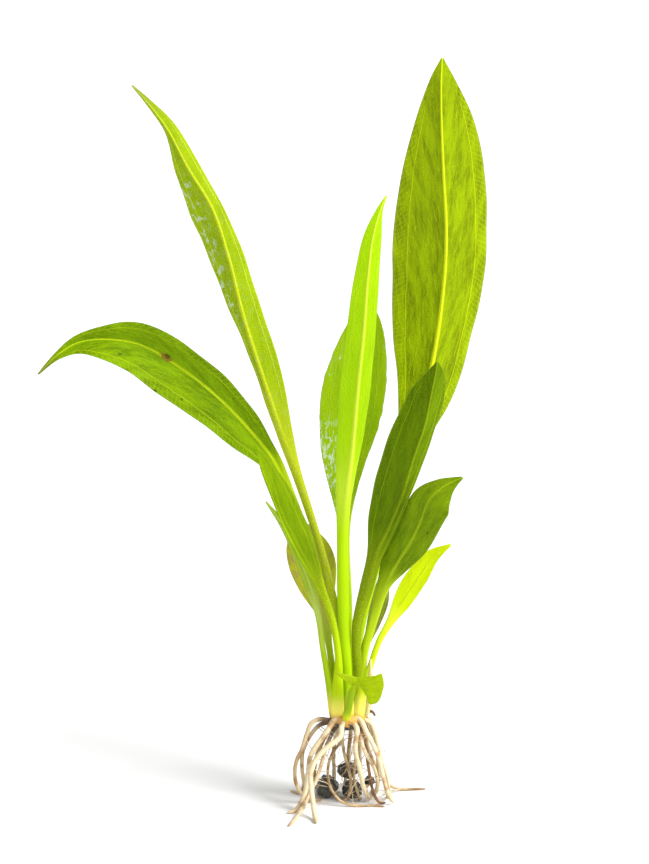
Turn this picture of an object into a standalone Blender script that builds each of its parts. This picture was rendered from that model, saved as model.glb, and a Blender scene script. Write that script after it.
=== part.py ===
"""Amazon sword plant standing on its roots: a rosette of leaves, a crown, roots and gravel.

Metres, +Z up, the front of the plant faces -Y. Leaves and roots are written in
millimetres about the crown's axis, and the whole plant is moved at the end so
that the middle of its footprint is the origin.
"""

import math

import bmesh
import bpy
import numpy as np
from mathutils import Vector

for old in list(bpy.data.objects):
    bpy.data.objects.remove(old)

MM = 0.001
CROWN_TOP = 33.45  # height of the crown's top above the ground
CROWN_LOW = 27.6
CROWN_RADIUS = 6.45
CROWN_SIDES = 16
CROWN_LUMPS = 0.04  # how uneven the crown is, as a share of its radius
CROWN_ROWS = (  # height, and share of the radius
    (CROWN_LOW, 0.44), (28.2, 0.68), (29.3, 0.84), (30.5, 0.92), (31.7, 0.97), (32.8, 1.0), (CROWN_TOP, 0.97),
)
RIB_HEIGHT = 0.75  # half thickness of a blade at its midrib
BLADE_HALF = 0.3  # half thickness of a blade between midrib and margin
STALK_HALF = (0.9, 1.0)  # half thickness of a stalk at the crown and higher up
STALK_WIDTH = 4.0  # a leaf wider than this is opening into its blade
OPENING_WIDTH = 5.0  # and this much wider it is all blade
MARGIN_HALF = 0.3  # least half width of a leaf, at its tip
LEAF_RINGS = 24  # at most, along one leaf
ROOT_SIDES = 6
ROOT_TIP = 0.6  # a root's last ring, as a share of its radius there
GROUND = 0.0  # roots are pressed flat where they meet the ground

# Each leaf: rows along its midrib from the crown to the tip, as
# x, y, z, left width, left depth, right width, right depth.
# The widths are across the leaf as seen from the front, and the depths say how
# far each margin goes back (+) or comes forward (-) of the midrib.
LEAVES = {
    "leaf_tall_right": (
        (1.8, 2.4, 34, 1.2, 0, 1.2, 0),
        (2.4, 3.6, 45, 1.3, 0, 1.3, 0),
        (3.8, 6, 58, 1.5, 0, 1.5, 0),
        (7.6, 10, 75.5, 1.7, 0, 1.7, 0),
        (16, 18.5, 103, 2.2, 0.5, 2.2, 0.5),
        (22.5, 25, 126, 5, 1.5, 5.3, 1.5),
        (28.5, 30, 146, 11, 4, 10.3, 3),
        (32, 32.5, 163.5, 16, 5, 12.3, 4),
        (34.5, 33.5, 185, 18.5, 5, 14.3, 5),
        (35, 33, 202.5, 18.5, 5, 14.8, 5),
        (34, 32, 219.5, 15.5, 4, 14.8, 5),
        (33, 30.5, 240, 9.5, 3, 11.8, 4),
        (32.7, 29, 255.5, 4, 1.5, 5.1, 2),
        (33, 28, 263.5, 0.4, 0, 0.4, 0),
    ),
    "leaf_front_right": (
        (4.3, -2.9, 34, 1.7, 0, 1.7, 0),
        (3.9, -3.2, 45, 1.6, 0, 1.7, 0),
        (3, -3.7, 58, 1.5, 0, 1.8, 0),
        (3.2, -5, 67, 1.7, 0, 1.8, 0),
        (6.6, -7, 80.5, 2.6, 0.45, 2.1, 0.5),
        (9.6, -9.5, 93, 3.4, 1.8, 2.4, -0.4),
        (14.5, -12, 105, 7.3, 4.95, 2.5, -1),
        (18.5, -14.2, 115.5, 10, 6.75, 2.6, -0.8),
        (22.5, -16, 129.5, 10, 7.2, 3.8, 1),
        (26.5, -16.5, 142, 9.3, 6.75, 4.1, 2),
        (28.5, -15, 151.5, 7, 4.95, 4.7, 2),
        (30, -13.5, 159, 2.8, 1.8, 3.3, 1),
        (30.7, -12.5, 163, 0.4, 0, 0.4, 0),
    ),
    "leaf_low_right": (
        (4.9, -0.3, 34, 1.4, 0, 1.4, 0),
        (5, -0.8, 45, 1.5, 0, 1.5, 0),
        (5.8, -1.6, 56, 1.5, 0, 1.5, 0),
        (9, -3.4, 68.3, 1.6, -0.5, 1.5, -0.5),
        (13.3, -7, 82, 3, 2.5, 1.6, -1),
        (17, -10, 90.5, 5.4, 4, 4, -2),
        (21.5, -13.8, 99, 6.4, 4.2, 6, -3),
        (25.2, -16, 107.5, 6.8, 3.4, 7, -3.5),
        (27.9, -18, 115.2, 5.6, 3, 7.8, -3.5),
        (32.4, -19.5, 120.2, 3.4, 0.5, 4.8, -1.5),
        (36.4, -20.5, 122.7, 1.6, 0, 2, -0.5),
        (39.4, -21.5, 124.2, 0.4, 0, 0.4, 0),
    ),
    "leaf_yellow_right": (
        (4.9, 2.5, 34, 1.2, 0, 1.2, 0),
        (5.5, 3.2, 42, 1.2, 0, 1.2, 0),
        (8, 4.6, 49, 1.1, 0, 1.1, 0),
        (11.3, 7, 58, 1.1, 0, 1.1, 0),
        (15.4, 10, 64.5, 1.6, 0, 1.6, 0),
        (20, 13.8, 71.2, 3.8, -1, 3.4, 1),
        (25.3, 17, 78.5, 4.6, -1, 3.4, 1),
        (30.3, 19.5, 85, 3.6, -0.5, 2.2, 0.5),
        (37.1, 21, 90, 0.4, 0, 0.4, 0),
    ),
    "leaf_olive_right": (
        (3.4, 5.2, 34, 1.1, 0, 1.1, 0),
        (4.2, 6.4, 44, 1.1, 0, 1.1, 0),
        (6.4, 8.6, 55, 1.1, 0, 1.1, 0),
        (9.6, 11.5, 64, 2.6, 0, 2.4, 0),
        (11.8, 14, 71, 3.4, 0, 2.9, 0),
        (13, 16, 78, 2.2, 0, 1.8, 0),
        (13.6, 17.5, 84, 0.4, 0, 0.4, 0),
    ),
    "leaf_centre": (
        (0.7, -2.7, 34, 1.6, 0, 1.5, 0),
        (0.3, -3.2, 45, 1.9, 0, 1.5, 0),
        (-1, -3.9, 62, 2.1, 0, 2.1, 0),
        (-1.7, -6, 80, 2.1, 0, 2.1, 0),
        (-2, -9.4, 98, 1.9, 0, 2, 0),
        (-0.8, -13, 113.5, 3.4, 0.5, 1.8, 0.5),
        (1.2, -17, 131, 5.5, 1, 2.8, 1.5),
        (3.2, -21, 155, 6.1, 1.5, 4.4, 1.5),
        (5.2, -24, 176, 5.9, 1.5, 4, 1.5),
        (6.5, -24.5, 194, 4.6, 1.5, 3.9, 1.5),
        (8.2, -24, 208, 3.2, 1, 3, 1),
        (10.8, -23, 217.5, 1.3, 0.5, 0.9, 0.5),
        (12.8, -22, 222, 0.3, 0, 0.3, 0),
    ),
    "leaf_behind_centre": (
        (1.5, -0.2, 34, 1.3, 0, 1.3, 0),
        (0.8, 0.4, 50, 1.3, 0, 1.3, 0),
        (0.2, 1.6, 75, 1.4, 0, 1.4, 0),
        (-0.8, 3.8, 98, 1.9, 0, 1.6, 0),
        (-0.7, 6, 109.5, 4.6, -1, 3, -1),
        (0, 8, 123.5, 8.9, -2, 6.2, -1.5),
        (1.4, 10, 138.5, 11.4, -2, 10, -2),
        (2.4, 11.5, 152, 10.8, -2, 11.2, -2),
        (3.8, 12.5, 165, 7.2, -1.5, 9.6, -1.5),
        (5.4, 12.6, 175, 3.4, -1, 6, -1),
        (7, 12.4, 181.5, 0.5, 0, 0.5, 0),
    ),
    "leaf_tall_left": (
        (-1.9, -0.3, 34, 1.4, 0, 1.4, 0),
        (-1.6, -0.6, 48, 1.4, 0, 1.4, 0),
        (-2.4, -1.2, 62, 1.4, 0, 1.4, 0),
        (-5.3, -2.8, 77, 1.4, 0, 1.4, 0),
        (-9.2, -3.8, 93.5, 1.3, 0, 1.3, 0),
        (-12.9, -3.8, 106.5, 1.6, 0, 1.2, 0),
        (-18, -3.8, 122.5, 2, 0.5, 1.6, 0),
        (-23, -4.2, 136, 2, 1, 3.8, 0.6),
        (-29.3, -5.6, 155.5, 2.2, 1.5, 6.6, 1.8),
        (-36, -8, 177.5, 3.8, 3, 6.6, 2.4),
        (-41.2, -11, 199.5, 7, 5, 5.2, 2.4),
        (-46.6, -13, 216.5, 8.2, 5, 3.4, 1.8),
        (-54.6, -15, 230.5, 4.8, 3, 4, 1.8),
        (-61.4, -17, 244, 1.4, 1, 3, 1.2),
        (-67.6, -18, 252.5, 0.7, 0.3, 1.6, 0.36),
        (-73, -19, 259, 0.3, 0, 0.3, 0),
    ),
    "leaf_arching_left": (
        (-1.1, 2.4, 34, 1.2, 0, 1.2, 0),
        (-1.5, 4.4, 46, 1.3, 0, 1.3, 0),
        (-3.8, 7.4, 62, 1.3, 0, 1.3, 0),
        (-8.4, 9.8, 78, 1.3, 0, 1.3, 0),
        (-14, 12, 94, 1.4, 0, 1.4, 0),
        (-19.8, 13.5, 109, 2, 0, 1.6, 0),
        (-26, 14.5, 122, 4.6, -1, 2.68, -0.7),
        (-35, 15.5, 133.5, 8.5, -3, 5.64, -2.1),
        (-46, 16, 145, 10.5, -4, 7.22, -2.8),
        (-58.6, 16.5, 155, 11.3, -5, 8.42, -2.8),
        (-73, 17, 163.5, 10.1, -5, 8.22, -2.8),
        (-86.5, 17, 165.5, 6.6, -4, 5.04, -2.1),
        (-95.5, 17.3, 164.1, 3.6, -2.5, 2.77, -1.05),
        (-103, 17.6, 159.3, 1.5, -1, 1.19, -0.35),
        (-109.5, 18, 152.7, 0.3, 0, 0.3, 0),
    ),
    "leaf_front_left": (
        (-3.4, -3.3, 34, 1.9, 0, 1.7, 0),
        (-3.4, -5.8, 44, 2.1, 0, 1.8, 0),
        (-3.3, -7, 56, 1.3, 0, 1.2, 0),
        (-5.4, -6.8, 69, 1.3, 0, 1.3, 0),
        (-9.7, -6, 81.3, 1.7, 0, 1.8, -1.1),
        (-14, -6, 89.7, 2, 0, 4.4, -2.2),
        (-19, -6.2, 99, 1.8, 0, 6.6, -2.5),
        (-23.5, -6.4, 109.2, 1.6, 0, 6.6, -2.2),
        (-25.9, -6.6, 117.2, 2.2, 0, 5.2, -1.4),
        (-28.6, -6.8, 125, 2.2, 0, 2.6, -0.6),
        (-31.8, -7, 132, 0.3, 0, 0.3, 0),
    ),
    "leaf_old_yellow": (
        (-4.4, 2.4, 34, 1.2, 0, 1.2, 0),
        (-5.2, 3.4, 46, 1.2, 0, 1.2, 0),
        (-7, 4.8, 60, 1.4, 0, 1.4, 0),
        (-9.2, 6, 69, 2.4, 0, 3.8, 0),
        (-11.6, 6.6, 78, 5.6, 0, 7.6, 0),
        (-13.6, 6.6, 87, 7.4, 0, 9.2, 0),
        (-15.4, 6.2, 95, 6.2, 0, 7, 0),
        (-16.8, 5.8, 103, 0.6, 0, 0.6, 0),
    ),
    "leaf_small_left": (
        (-5.2, -0.3, 34, 1.1, 0, 1.1, 0),
        (-6.8, -0.4, 45, 1.1, 0, 1.1, 0),
        (-8.9, -0.4, 58, 1, 0, 1, 0),
        (-10.4, -0.2, 70, 1.3, 0, 1.2, 0),
        (-13.7, 0, 81.3, 2, 0, 1.7, 0.5),
        (-17.7, -0.2, 91.4, 1.6, 0, 2, 0.5),
        (-22.4, -0.4, 101.5, 1.2, 0, 1.6, 0),
        (-28.8, -0.6, 110.8, 0.3, 0, 0.3, 0),
    ),
    "leaf_curled_front": (
        (-0.3, -5.6, 34, 1.1, 0, 1.1, 0),
        (0.6, -7.4, 39, 1.1, 0, 1.1, 0),
        (1.6, -9.0, 44.3, 1.2, 0, 1.2, 0),
        (2.1, -9.5, 46.0, 2.0, 0, 1.4, -0.1),
        (2.6, -10.0, 47.3, 7.0, 0, 2.0, -0.4),
        (3.5, -10.4, 48.1, 2.4, 0.3, 4.6, -0.6),
        (5.0, -11.0, 48.7, 1.6, 0.5, 7.4, -0.9),
        (7.6, -12.0, 49.2, 1.2, 0.4, 8.6, -1.2),
        (10.0, -12.8, 50.2, 0.8, 0.2, 4.8, -0.8),
        (11.9, -13.2, 51.6, 0.4, 0, 0.4, 0),
    ),
}
# Stalks whose half thickness differs from STALK_HALF.
STALKS = {
    "leaf_front_left": (0.8, 0.9),
    "leaf_centre": (0.9, 1.2),
    "leaf_front_right": (0.9, 1.2),
    "leaf_curled_front": (0.7, 0.6),
    "leaf_small_left": (0.8, 0.8),
    "leaf_yellow_right": (0.9, 0.8),
    "leaf_olive_right": (0.8, 0.7),
    "leaf_old_yellow": (0.8, 0.8),
}

# Each root: its radius at the crown and at its tip, then the points it passes.
ROOTS = {
    "root_left_1": (
        (0.85, 0.6),
        (-6.4, -2, 31.5), (-9.4, -2.6, 31.92), (-12.6, -3, 30.87), (-14.6, -3, 26.25), (-16.2, -3, 21),
        (-18.4, -3, 15.75), (-18.6, -2.6, 9.45), (-16.6, -1.6, 4.2), (-12.6, 0.4, 0.7), (-9, 2.6, 0.5),
    ),
    "root_left_2": (
        (0.85, 0.6),
        (-6.6, 0.8, 29.82), (-9.8, 1.6, 28.56), (-13.4, 2.4, 24.15), (-16, 3.2, 17.85), (-16.2, 4.6, 10.5),
        (-15.6, 6.4, 4.2), (-17.4, 9.6, 0.7), (-20.6, 12.4, 0.5),
    ),
    "root_left_3": (
        (1.0, 0.8),
        (-5.4, -4.7, 31.4), (-7.7, -6, 27.9), (-11.4, -6.8, 22.9), (-13.2, -7.2, 19.5), (-13.9, -7.8, 14.6),
        (-15.4, -8.6, 5.67), (-18.2, -10.6, 1), (-21.2, -13.4, 0.7),
    ),
    "root_left_4": (
        (0.9, 0.7),
        (-5, 3.6, 27.93), (-7.4, 5.6, 24.15), (-9.6, 7.6, 18.9), (-11.4, 9.4, 12.6), (-12, 11.4, 6.3),
        (-11.4, 14, 1.4), (-9, 16.6, 0.6),
    ),
    "root_front_left": (
        (1.0, 0.9),
        (-2.1, -6.5, 30.4), (-2.6, -8.2, 27.2), (-5.9, -9.6, 24.7), (-8.8, -10.2, 22.4), (-11.4, -10.8, 19.2),
        (-13, -11.8, 15), (-12.8, -13.6, 9), (-12, -16.6, 3.8), (-11.4, -20.6, 0.9), (-11, -24.6, 0.8),
    ),
    "root_long_left": (
        (0.8, 0.5),
        (-4.4, -1.6, 28.2), (-7.2, -2.6, 22.8), (-9.4, -4, 15.3), (-12, -6, 8.4), (-14.6, -10.6, 4.2),
        (-16.8, -16, 1.68), (-19, -22, 0.7), (-20.8, -27.6, 0.45),
    ),
    "root_loop_left": (
        (0.55, 0.45),
        (-1.2, 3, 26.31), (-2.8, 2.2, 21.54), (-5.6, 0, 18.03), (-7, -2, 12.6), (-5.8, -3.6, 6.3),
        (-2, -4.6, 1.89), (3.2, -5, 0.5), (8.4, -4.6, 0.4), (13.4, -5.4, 0.35),
    ),
    "root_front_1": (
        (0.9, 0.8),
        (3.4, -6.6, 29.4), (2.8, -7.8, 25.2), (2.8, -7.8, 21), (3.9, -6.8, 16.38), (4.9, -5.4, 11.55),
        (5.6, -3.6, 7.35), (7, -1, 3.15), (8.4, 2, 0.7),
    ),
    "root_front_2": (
        (0.75, 0.6),
        (4.4, -5.9, 26.88), (5.3, -7, 23.73), (6.4, -6.2, 20.37), (8.4, -4.8, 16.59), (9.8, -3.4, 13.02),
        (10.6, -1.8, 9.45), (10.6, 0.6, 5.67), (9.8, 3.4, 2.1), (8.8, 6, 0.6),
    ),
    "root_middle": (
        (0.6, 0.5),
        (-1.8, -3, 27.04), (-1.4, -3.6, 20.7), (0.2, -3.4, 14.25), (1.2, -2.6, 9.03), (0.6, -1.6, 3.78),
        (-1.4, 0.6, 0.6), (-4.4, 3.6, 0.45),
    ),
    "root_right_1": (
        (0.9, 0.7),
        (5.1, -5, 31.5), (6.4, -6.8, 28.98), (8.2, -7.4, 25.62), (9.8, -7.4, 22.05), (11.2, -7, 18.06),
        (12.2, -6.4, 13.65), (13.4, -5.2, 8.4), (14.8, -3.8, 3.57), (16.6, -2.4, 0.6),
    ),
    "root_right_2": (
        (0.9, 0.6),
        (6.9, -2.4, 31.08), (8.6, -3.2, 30.03), (9.9, -3.6, 26.25), (10.9, -3.6, 21.63), (12.3, -3.2, 16.38),
        (13.7, -2.6, 11.97), (14.6, -1.6, 7.56), (14.6, 0.2, 3.15), (13.6, 2.8, 0.5),
    ),
    "root_right_3": (
        (0.9, 0.6),
        (7.2, 0.4, 31.5), (8.6, 0.8, 28.35), (10, 1, 23.1), (12, 1, 16.8), (13.4, 1.4, 10.08),
        (14.4, 2.8, 4.2), (15.6, 5.4, 0.8), (15.2, 8.6, 0.5),
    ),
    "root_right_4": (
        (0.8, 0.6),
        (6.6, 2.9, 29.4), (8.6, 3.6, 24.78), (10.4, 4, 18.27), (11.2, 4.6, 11.55), (11.2, 6.4, 5.25),
        (10.2, 9.2, 1), (8.2, 12.4, 0.5),
    ),
    "root_trailing": (
        (0.7, 0.45),
        (4.4, 5, 27.93), (6.4, 7.2, 22.05), (8.6, 9, 14.7), (11.4, 10.6, 8.4), (14.6, 12.4, 3.15),
        (18.6, 13.4, 0.8), (23.4, 14.2, 0.5), (28.6, 15, 0.35),
    ),
    "root_back_1": (
        (0.85, 0.6),
        (0.8, 6.4, 28.35), (1.2, 9, 23.73), (0.6, 11.4, 16.8), (0, 13.4, 9.45), (-0.6, 16.4, 3.15),
        (-0.2, 20.4, 0.6), (1, 24.6, 0.5),
    ),
    "root_back_2": (
        (0.8, 0.6),
        (-2.6, 5.8, 26.25), (-4.4, 8.6, 21), (-5, 11.4, 13.65), (-4.6, 14.6, 6.3), (-5.4, 18.6, 1),
        (-8.4, 22, 0.5),
    ),
    "root_back_3": (
        (0.8, 0.6),
        (2.0, 5.2, 28.2), (4, 7.6, 21.75), (4.6, 10.4, 13.2), (5.2, 13.4, 5.67), (6.8, 16.8, 0.9),
        (9.4, 20.4, 0.5),
    ),
    "root_across": (
        (0.6, 0.45),
        (2.6, -0.4, 27.04), (3.4, -0.4, 20.7), (2.6, -0.8, 14.88), (2.4, 0, 8.82), (3.6, 0.4, 3.99),
        (4.4, 1.6, 1), (5.2, 4.2, 0.45),
    ),
    "root_orange": (
        (0.6, 0.5),
        (4.4, 1.6, 27.78), (6.2, 1, 21.75), (7.4, -1, 14.25), (8.4, -2.6, 8.4), (9.6, -3.2, 3.78),
        (11.6, -2.4, 0.8), (13.8, -1, 0.45),
    ),
}
# A short brown stub on the right of the crown.
STUB_RADII = (0.7, 0.4)
STUB = ((7.0, -1.6, 34.0), (8.2, -2.2, 34.8), (9.2, -2.6, 34.2), (9.8, -2.8, 33.0))
SHEATH = (  # x, y, z and half width, from the crown to the tip
    (6.9, -3.6, 34, 0.9),
    (7.6, -3.4, 38, 1.2),
    (7.9, -3.0, 45, 1.2),
    (8.1, -2.6, 50, 0.8),
    (8.2, -2.2, 54, 0.3),
)
SHEATH_FRONT, SHEATH_BACK, SHEATH_SKEW = 0.35, 0.05, 0.1  # how far its four corners stand out in y
GRAVEL_SWELL = 0.1  # how uneven a lump is, as a share of its size
GRAVEL = {  # centre and half sizes
    "gravel_left": ((-7.2, 6.4, 4.2), (2.8, 3.2, 3.2)),
    "gravel_top": ((0.2, 4.0, 10.9), (2.9, 2.4, 2.2)),
    "gravel_low": ((1.6, 5.4, 3.2), (2.7, 2.8, 2.6)),
    "gravel_right": ((7.8, 4.4, 6.9), (1.5, 1.3, 1.3)),
}


def along(rows, count):
    """count rows spread over a smooth curve through the given rows."""
    rows = np.array(rows, float)
    steps = np.linalg.norm(np.diff(rows[:, :3], axis=0), axis=1)
    at = np.concatenate([[0], np.cumsum(np.sqrt(steps))])
    slopes = np.gradient(rows, at, axis=0)
    out = []
    for t in np.linspace(0, 1, count):
        s = t * at[-1]
        i = min(int(np.searchsorted(at, s, "right")) - 1, len(rows) - 2)
        h = at[i + 1] - at[i]
        u = (s - at[i]) / h
        out.append(
            (2 * u**3 - 3 * u**2 + 1) * rows[i]
            + (u**3 - 2 * u**2 + u) * h * slopes[i]
            + (3 * u**2 - 2 * u**3) * rows[i + 1]
            + (u**3 - u**2) * h * slopes[i + 1]
        )
    return np.array(out)


def tangents(points):
    t = np.gradient(points, axis=0)
    return t / np.linalg.norm(t, axis=1)[:, None]


def loft(name, rings, colour, roughness):
    """One closed body through rings of points, its two ends closed by a cap."""
    bm = bmesh.new()
    loops = [[bm.verts.new(Vector(p) * MM) for p in ring] for ring in rings]
    n = len(loops[0])
    for a, b in zip(loops, loops[1:]):
        for i in range(n):
            bm.faces.new((a[i], a[(i + 1) % n], b[(i + 1) % n], b[i]))
    bm.faces.new(loops[0][::-1])
    bm.faces.new(loops[-1])
    bmesh.ops.triangulate(bm, faces=[f for f in bm.faces if len(f.verts) > 4])
    bmesh.ops.recalc_face_normals(bm, faces=bm.faces)
    return finish(name, bm, colour, roughness)


def finish(name, bm, colour, roughness):
    mesh = bpy.data.meshes.new(name)
    bm.to_mesh(mesh)
    bm.free()
    body = bpy.data.objects.new(name, mesh)
    bpy.context.scene.collection.objects.link(body)
    mat = bpy.data.materials.new(name)
    mat.use_nodes = True
    bsdf = mat.node_tree.nodes["Principled BSDF"]
    bsdf.inputs["Base Color"].default_value = (*colour, 1)
    bsdf.inputs["Roughness"].default_value = roughness
    body.data.materials.append(mat)
    return body


def leaf(name, rows, colour):
    """A stalk that opens into a blade. Each ring has eight points: two margins, three in front, three behind."""
    count = min(LEAF_RINGS, len(rows) + 9)
    at = along(rows, count)
    spine = at[:, :3]
    base, high = STALKS.get(name, STALK_HALF)
    rings = []
    for k, (p, t) in enumerate(zip(spine, tangents(spine))):
        wl, dl, wr, dr = at[k, 3:]
        wl, wr = max(wl, MARGIN_HALF), max(wr, MARGIN_HALF)
        across = np.cross((0, 1, 0), t)
        across /= np.linalg.norm(across)
        left = -across * wl + np.array((0, dl, 0))
        right = across * wr + np.array((0, dr, 0))
        normal = np.cross(t, right - left)
        normal /= np.linalg.norm(normal)
        if normal[1] > 0:
            normal = -normal
        share = k / (count - 1)
        wide = min(1, max(0, (wl + wr - STALK_WIDTH) / OPENING_WIDTH))  # 1 on the blade
        stalk = base + (high - base) * min(1, share * 4)
        taper = min(1, 0.35 + (1 - share) * 4)
        rib = (stalk * (1 - wide) + RIB_HEIGHT * wide) * taper
        half = (stalk * 0.8 * (1 - wide) + BLADE_HALF * wide) * taper
        rings.append(
            [
                p + left,
                p + left * 0.5 + normal * half,
                p + normal * rib,
                p + right * 0.5 + normal * half,
                p + right,
                p + right * 0.5 - normal * half,
                p - normal * rib,
                p + left * 0.5 - normal * half,
            ]
        )
    return loft(name, rings, colour, 0.35)


def root(name, r0, r1, points, colour):
    """A round root, thinner towards its tip, pressed flat where it meets the ground."""
    count = len(points) + 3
    spine = along(points, count)
    rings = []
    side = np.array((0.0, 1.0, 0.0))
    for k, (p, t) in enumerate(zip(spine, tangents(spine))):
        u = np.cross(t, side)
        u /= np.linalg.norm(u)
        v = np.cross(u, t)
        side = v / np.linalg.norm(v)
        r = r0 + (r1 - r0) * k / (count - 1)
        if k == count - 1:
            r *= ROOT_TIP
        ring = []
        for i in range(ROOT_SIDES):
            a = 2 * math.pi * i / ROOT_SIDES
            q = p + r * (math.cos(a) * u + math.sin(a) * side)
            q[2] = max(q[2], GROUND)
            ring.append(q)
        rings.append(ring)
    return loft(name, rings, colour, 0.6)


def crown():
    """The rhizome, turned about its axis and a little uneven."""
    rings = []
    for z, s in CROWN_ROWS:
        ring = []
        for i in range(CROWN_SIDES):
            a = 2 * math.pi * i / CROWN_SIDES
            r = CROWN_RADIUS * s * (1 + CROWN_LUMPS * math.sin(4 * a + z))
            ring.append((r * math.cos(a), r * math.sin(a), z))
        rings.append(ring)
    return loft("crown", rings, (0.55, 0.36, 0.14), 0.6)


def dry_sheath():
    """The papery remnant of an old sheath, standing free beside the stalks."""
    rings = []
    for x, y, z, w in SHEATH:
        rings.append([
            (x - w, y - SHEATH_SKEW, z), (x, y - SHEATH_FRONT, z),
            (x + w, y + SHEATH_SKEW, z), (x, y + SHEATH_BACK, z),
        ])
    return loft("sheath_dry", rings, (0.75, 0.68, 0.48), 0.8)


def gravel(name, centre, half):
    """A rounded lump, a little swollen here and there."""
    bm = bmesh.new()
    bmesh.ops.create_icosphere(bm, subdivisions=2, radius=1)
    for v in bm.verts:
        c = v.co
        swell = 1 + GRAVEL_SWELL * math.sin(3 * c.x + 2 * half[0]) * math.sin(3 * c.z + half[1])
        v.co = Vector([(m + h * s * swell) * MM for m, h, s in zip(centre, half, c)])
    return finish(name, bm, (0.03, 0.035, 0.03), 0.35)


GREENS = {
    "leaf_tall_right": (0.18, 0.34, 0.01),
    "leaf_front_right": (0.22, 0.45, 0.01),
    "leaf_low_right": (0.2, 0.45, 0.01),
    "leaf_yellow_right": (0.5, 0.65, 0.02),
    "leaf_olive_right": (0.25, 0.3, 0.03),
    "leaf_centre": (0.3, 0.6, 0.01),
    "leaf_behind_centre": (0.16, 0.36, 0.01),
    "leaf_tall_left": (0.25, 0.5, 0.01),
    "leaf_arching_left": (0.16, 0.38, 0.01),
    "leaf_front_left": (0.25, 0.5, 0.01),
    "leaf_old_yellow": (0.55, 0.45, 0.06),
    "leaf_small_left": (0.4, 0.55, 0.03),
    "leaf_curled_front": (0.35, 0.6, 0.02),
}
bodies = [crown()]
for name, rows in LEAVES.items():
    bodies.append(leaf(name, rows, GREENS[name]))
for name, (radii, *points) in ROOTS.items():
    bodies.append(root(name, *radii, points, (0.72, 0.58, 0.36)))
bodies.append(root("root_stub", *STUB_RADII, STUB, (0.35, 0.18, 0.06)))
for name, (centre, half) in GRAVEL.items():
    bodies.append(gravel(name, centre, half))
bodies.append(dry_sheath())

# The middle of the footprint becomes the origin.
corners = np.array([v.co[:] for body in bodies for v in body.data.vertices])
low, high = corners.min(axis=0), corners.max(axis=0)
shift = Vector((-(low[0] + high[0]) / 2, -(low[1] + high[1]) / 2, -low[2]))
for body in bodies:
    for v in body.data.vertices:
        v.co += shift
print("shift mm", [round(s / MM, 2) for s in shift])
print("size mm", [round(float(s) / MM, 1) for s in high - low])
print("triangles", sum(sum(len(p.vertices) - 2 for p in b.data.polygons) for b in bodies))
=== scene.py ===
# %% [markdown]
# # An amazon sword plant
#
# A whole aquarium plant stands on its own roots: a rosette of thirteen leaves,
# the short rhizome (the crown) that they grow from, a mat of cream and tan
# roots, and a few dark lumps of gravel that the roots still hold. The packed
# model gives every piece its place and size. This lesson grows a finer skin
# over each piece and then paints it with nodes.

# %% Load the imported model
import math
import random
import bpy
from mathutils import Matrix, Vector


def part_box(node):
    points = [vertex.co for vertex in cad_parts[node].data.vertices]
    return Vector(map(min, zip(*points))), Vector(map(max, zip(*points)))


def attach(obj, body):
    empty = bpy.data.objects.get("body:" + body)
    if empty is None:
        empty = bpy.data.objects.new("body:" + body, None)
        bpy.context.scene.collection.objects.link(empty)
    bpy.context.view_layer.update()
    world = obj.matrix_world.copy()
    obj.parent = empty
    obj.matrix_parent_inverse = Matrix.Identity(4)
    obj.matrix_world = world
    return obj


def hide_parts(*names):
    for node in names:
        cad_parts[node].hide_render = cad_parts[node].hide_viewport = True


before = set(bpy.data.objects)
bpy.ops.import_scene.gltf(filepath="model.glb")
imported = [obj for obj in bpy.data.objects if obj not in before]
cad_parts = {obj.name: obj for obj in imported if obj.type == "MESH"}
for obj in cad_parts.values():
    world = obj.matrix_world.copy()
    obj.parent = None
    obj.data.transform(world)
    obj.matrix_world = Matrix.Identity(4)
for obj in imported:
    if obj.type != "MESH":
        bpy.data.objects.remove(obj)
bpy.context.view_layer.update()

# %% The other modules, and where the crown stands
from types import SimpleNamespace

import bmesh
import bpy
import numpy as np
from mathutils import Vector, noise

MM = 0.001
crown_low, crown_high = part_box("crown")
AXIS = (crown_low + crown_high) / 2  # the crown is even about its axis
AXIS.z = 0
BACKWARD = np.array((0.0, 1.0, 0.0))
print("crown axis at", [round(c / MM, 2) for c in AXIS], "mm")


# %% Two helpers
def new_object(name, data):
    made = bpy.data.objects.new(name, data)
    bpy.context.scene.collection.objects.link(made)
    return made


def mesh_from(bm, name):
    mesh = bpy.data.meshes.new(name)
    bm.to_mesh(mesh)
    bm.free()
    return mesh


# %% [markdown]
# ## Where every leaf and root goes
#
# The routes are the ones that the solid model was built from, in millimetres
# about the crown's axis on the ground. A leaf's row says where its midrib is,
# then how wide its left half is and how far the left margin goes back, and the
# same for the right half. A short row is a stalk's, with one width for both
# halves. With the same smooth curve through the rows, the fine skin lies where
# the solid lies. Only the pointed margins of leaf_front_right and
# leaf_curled_front differ from it, by under a millimetre.

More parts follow.
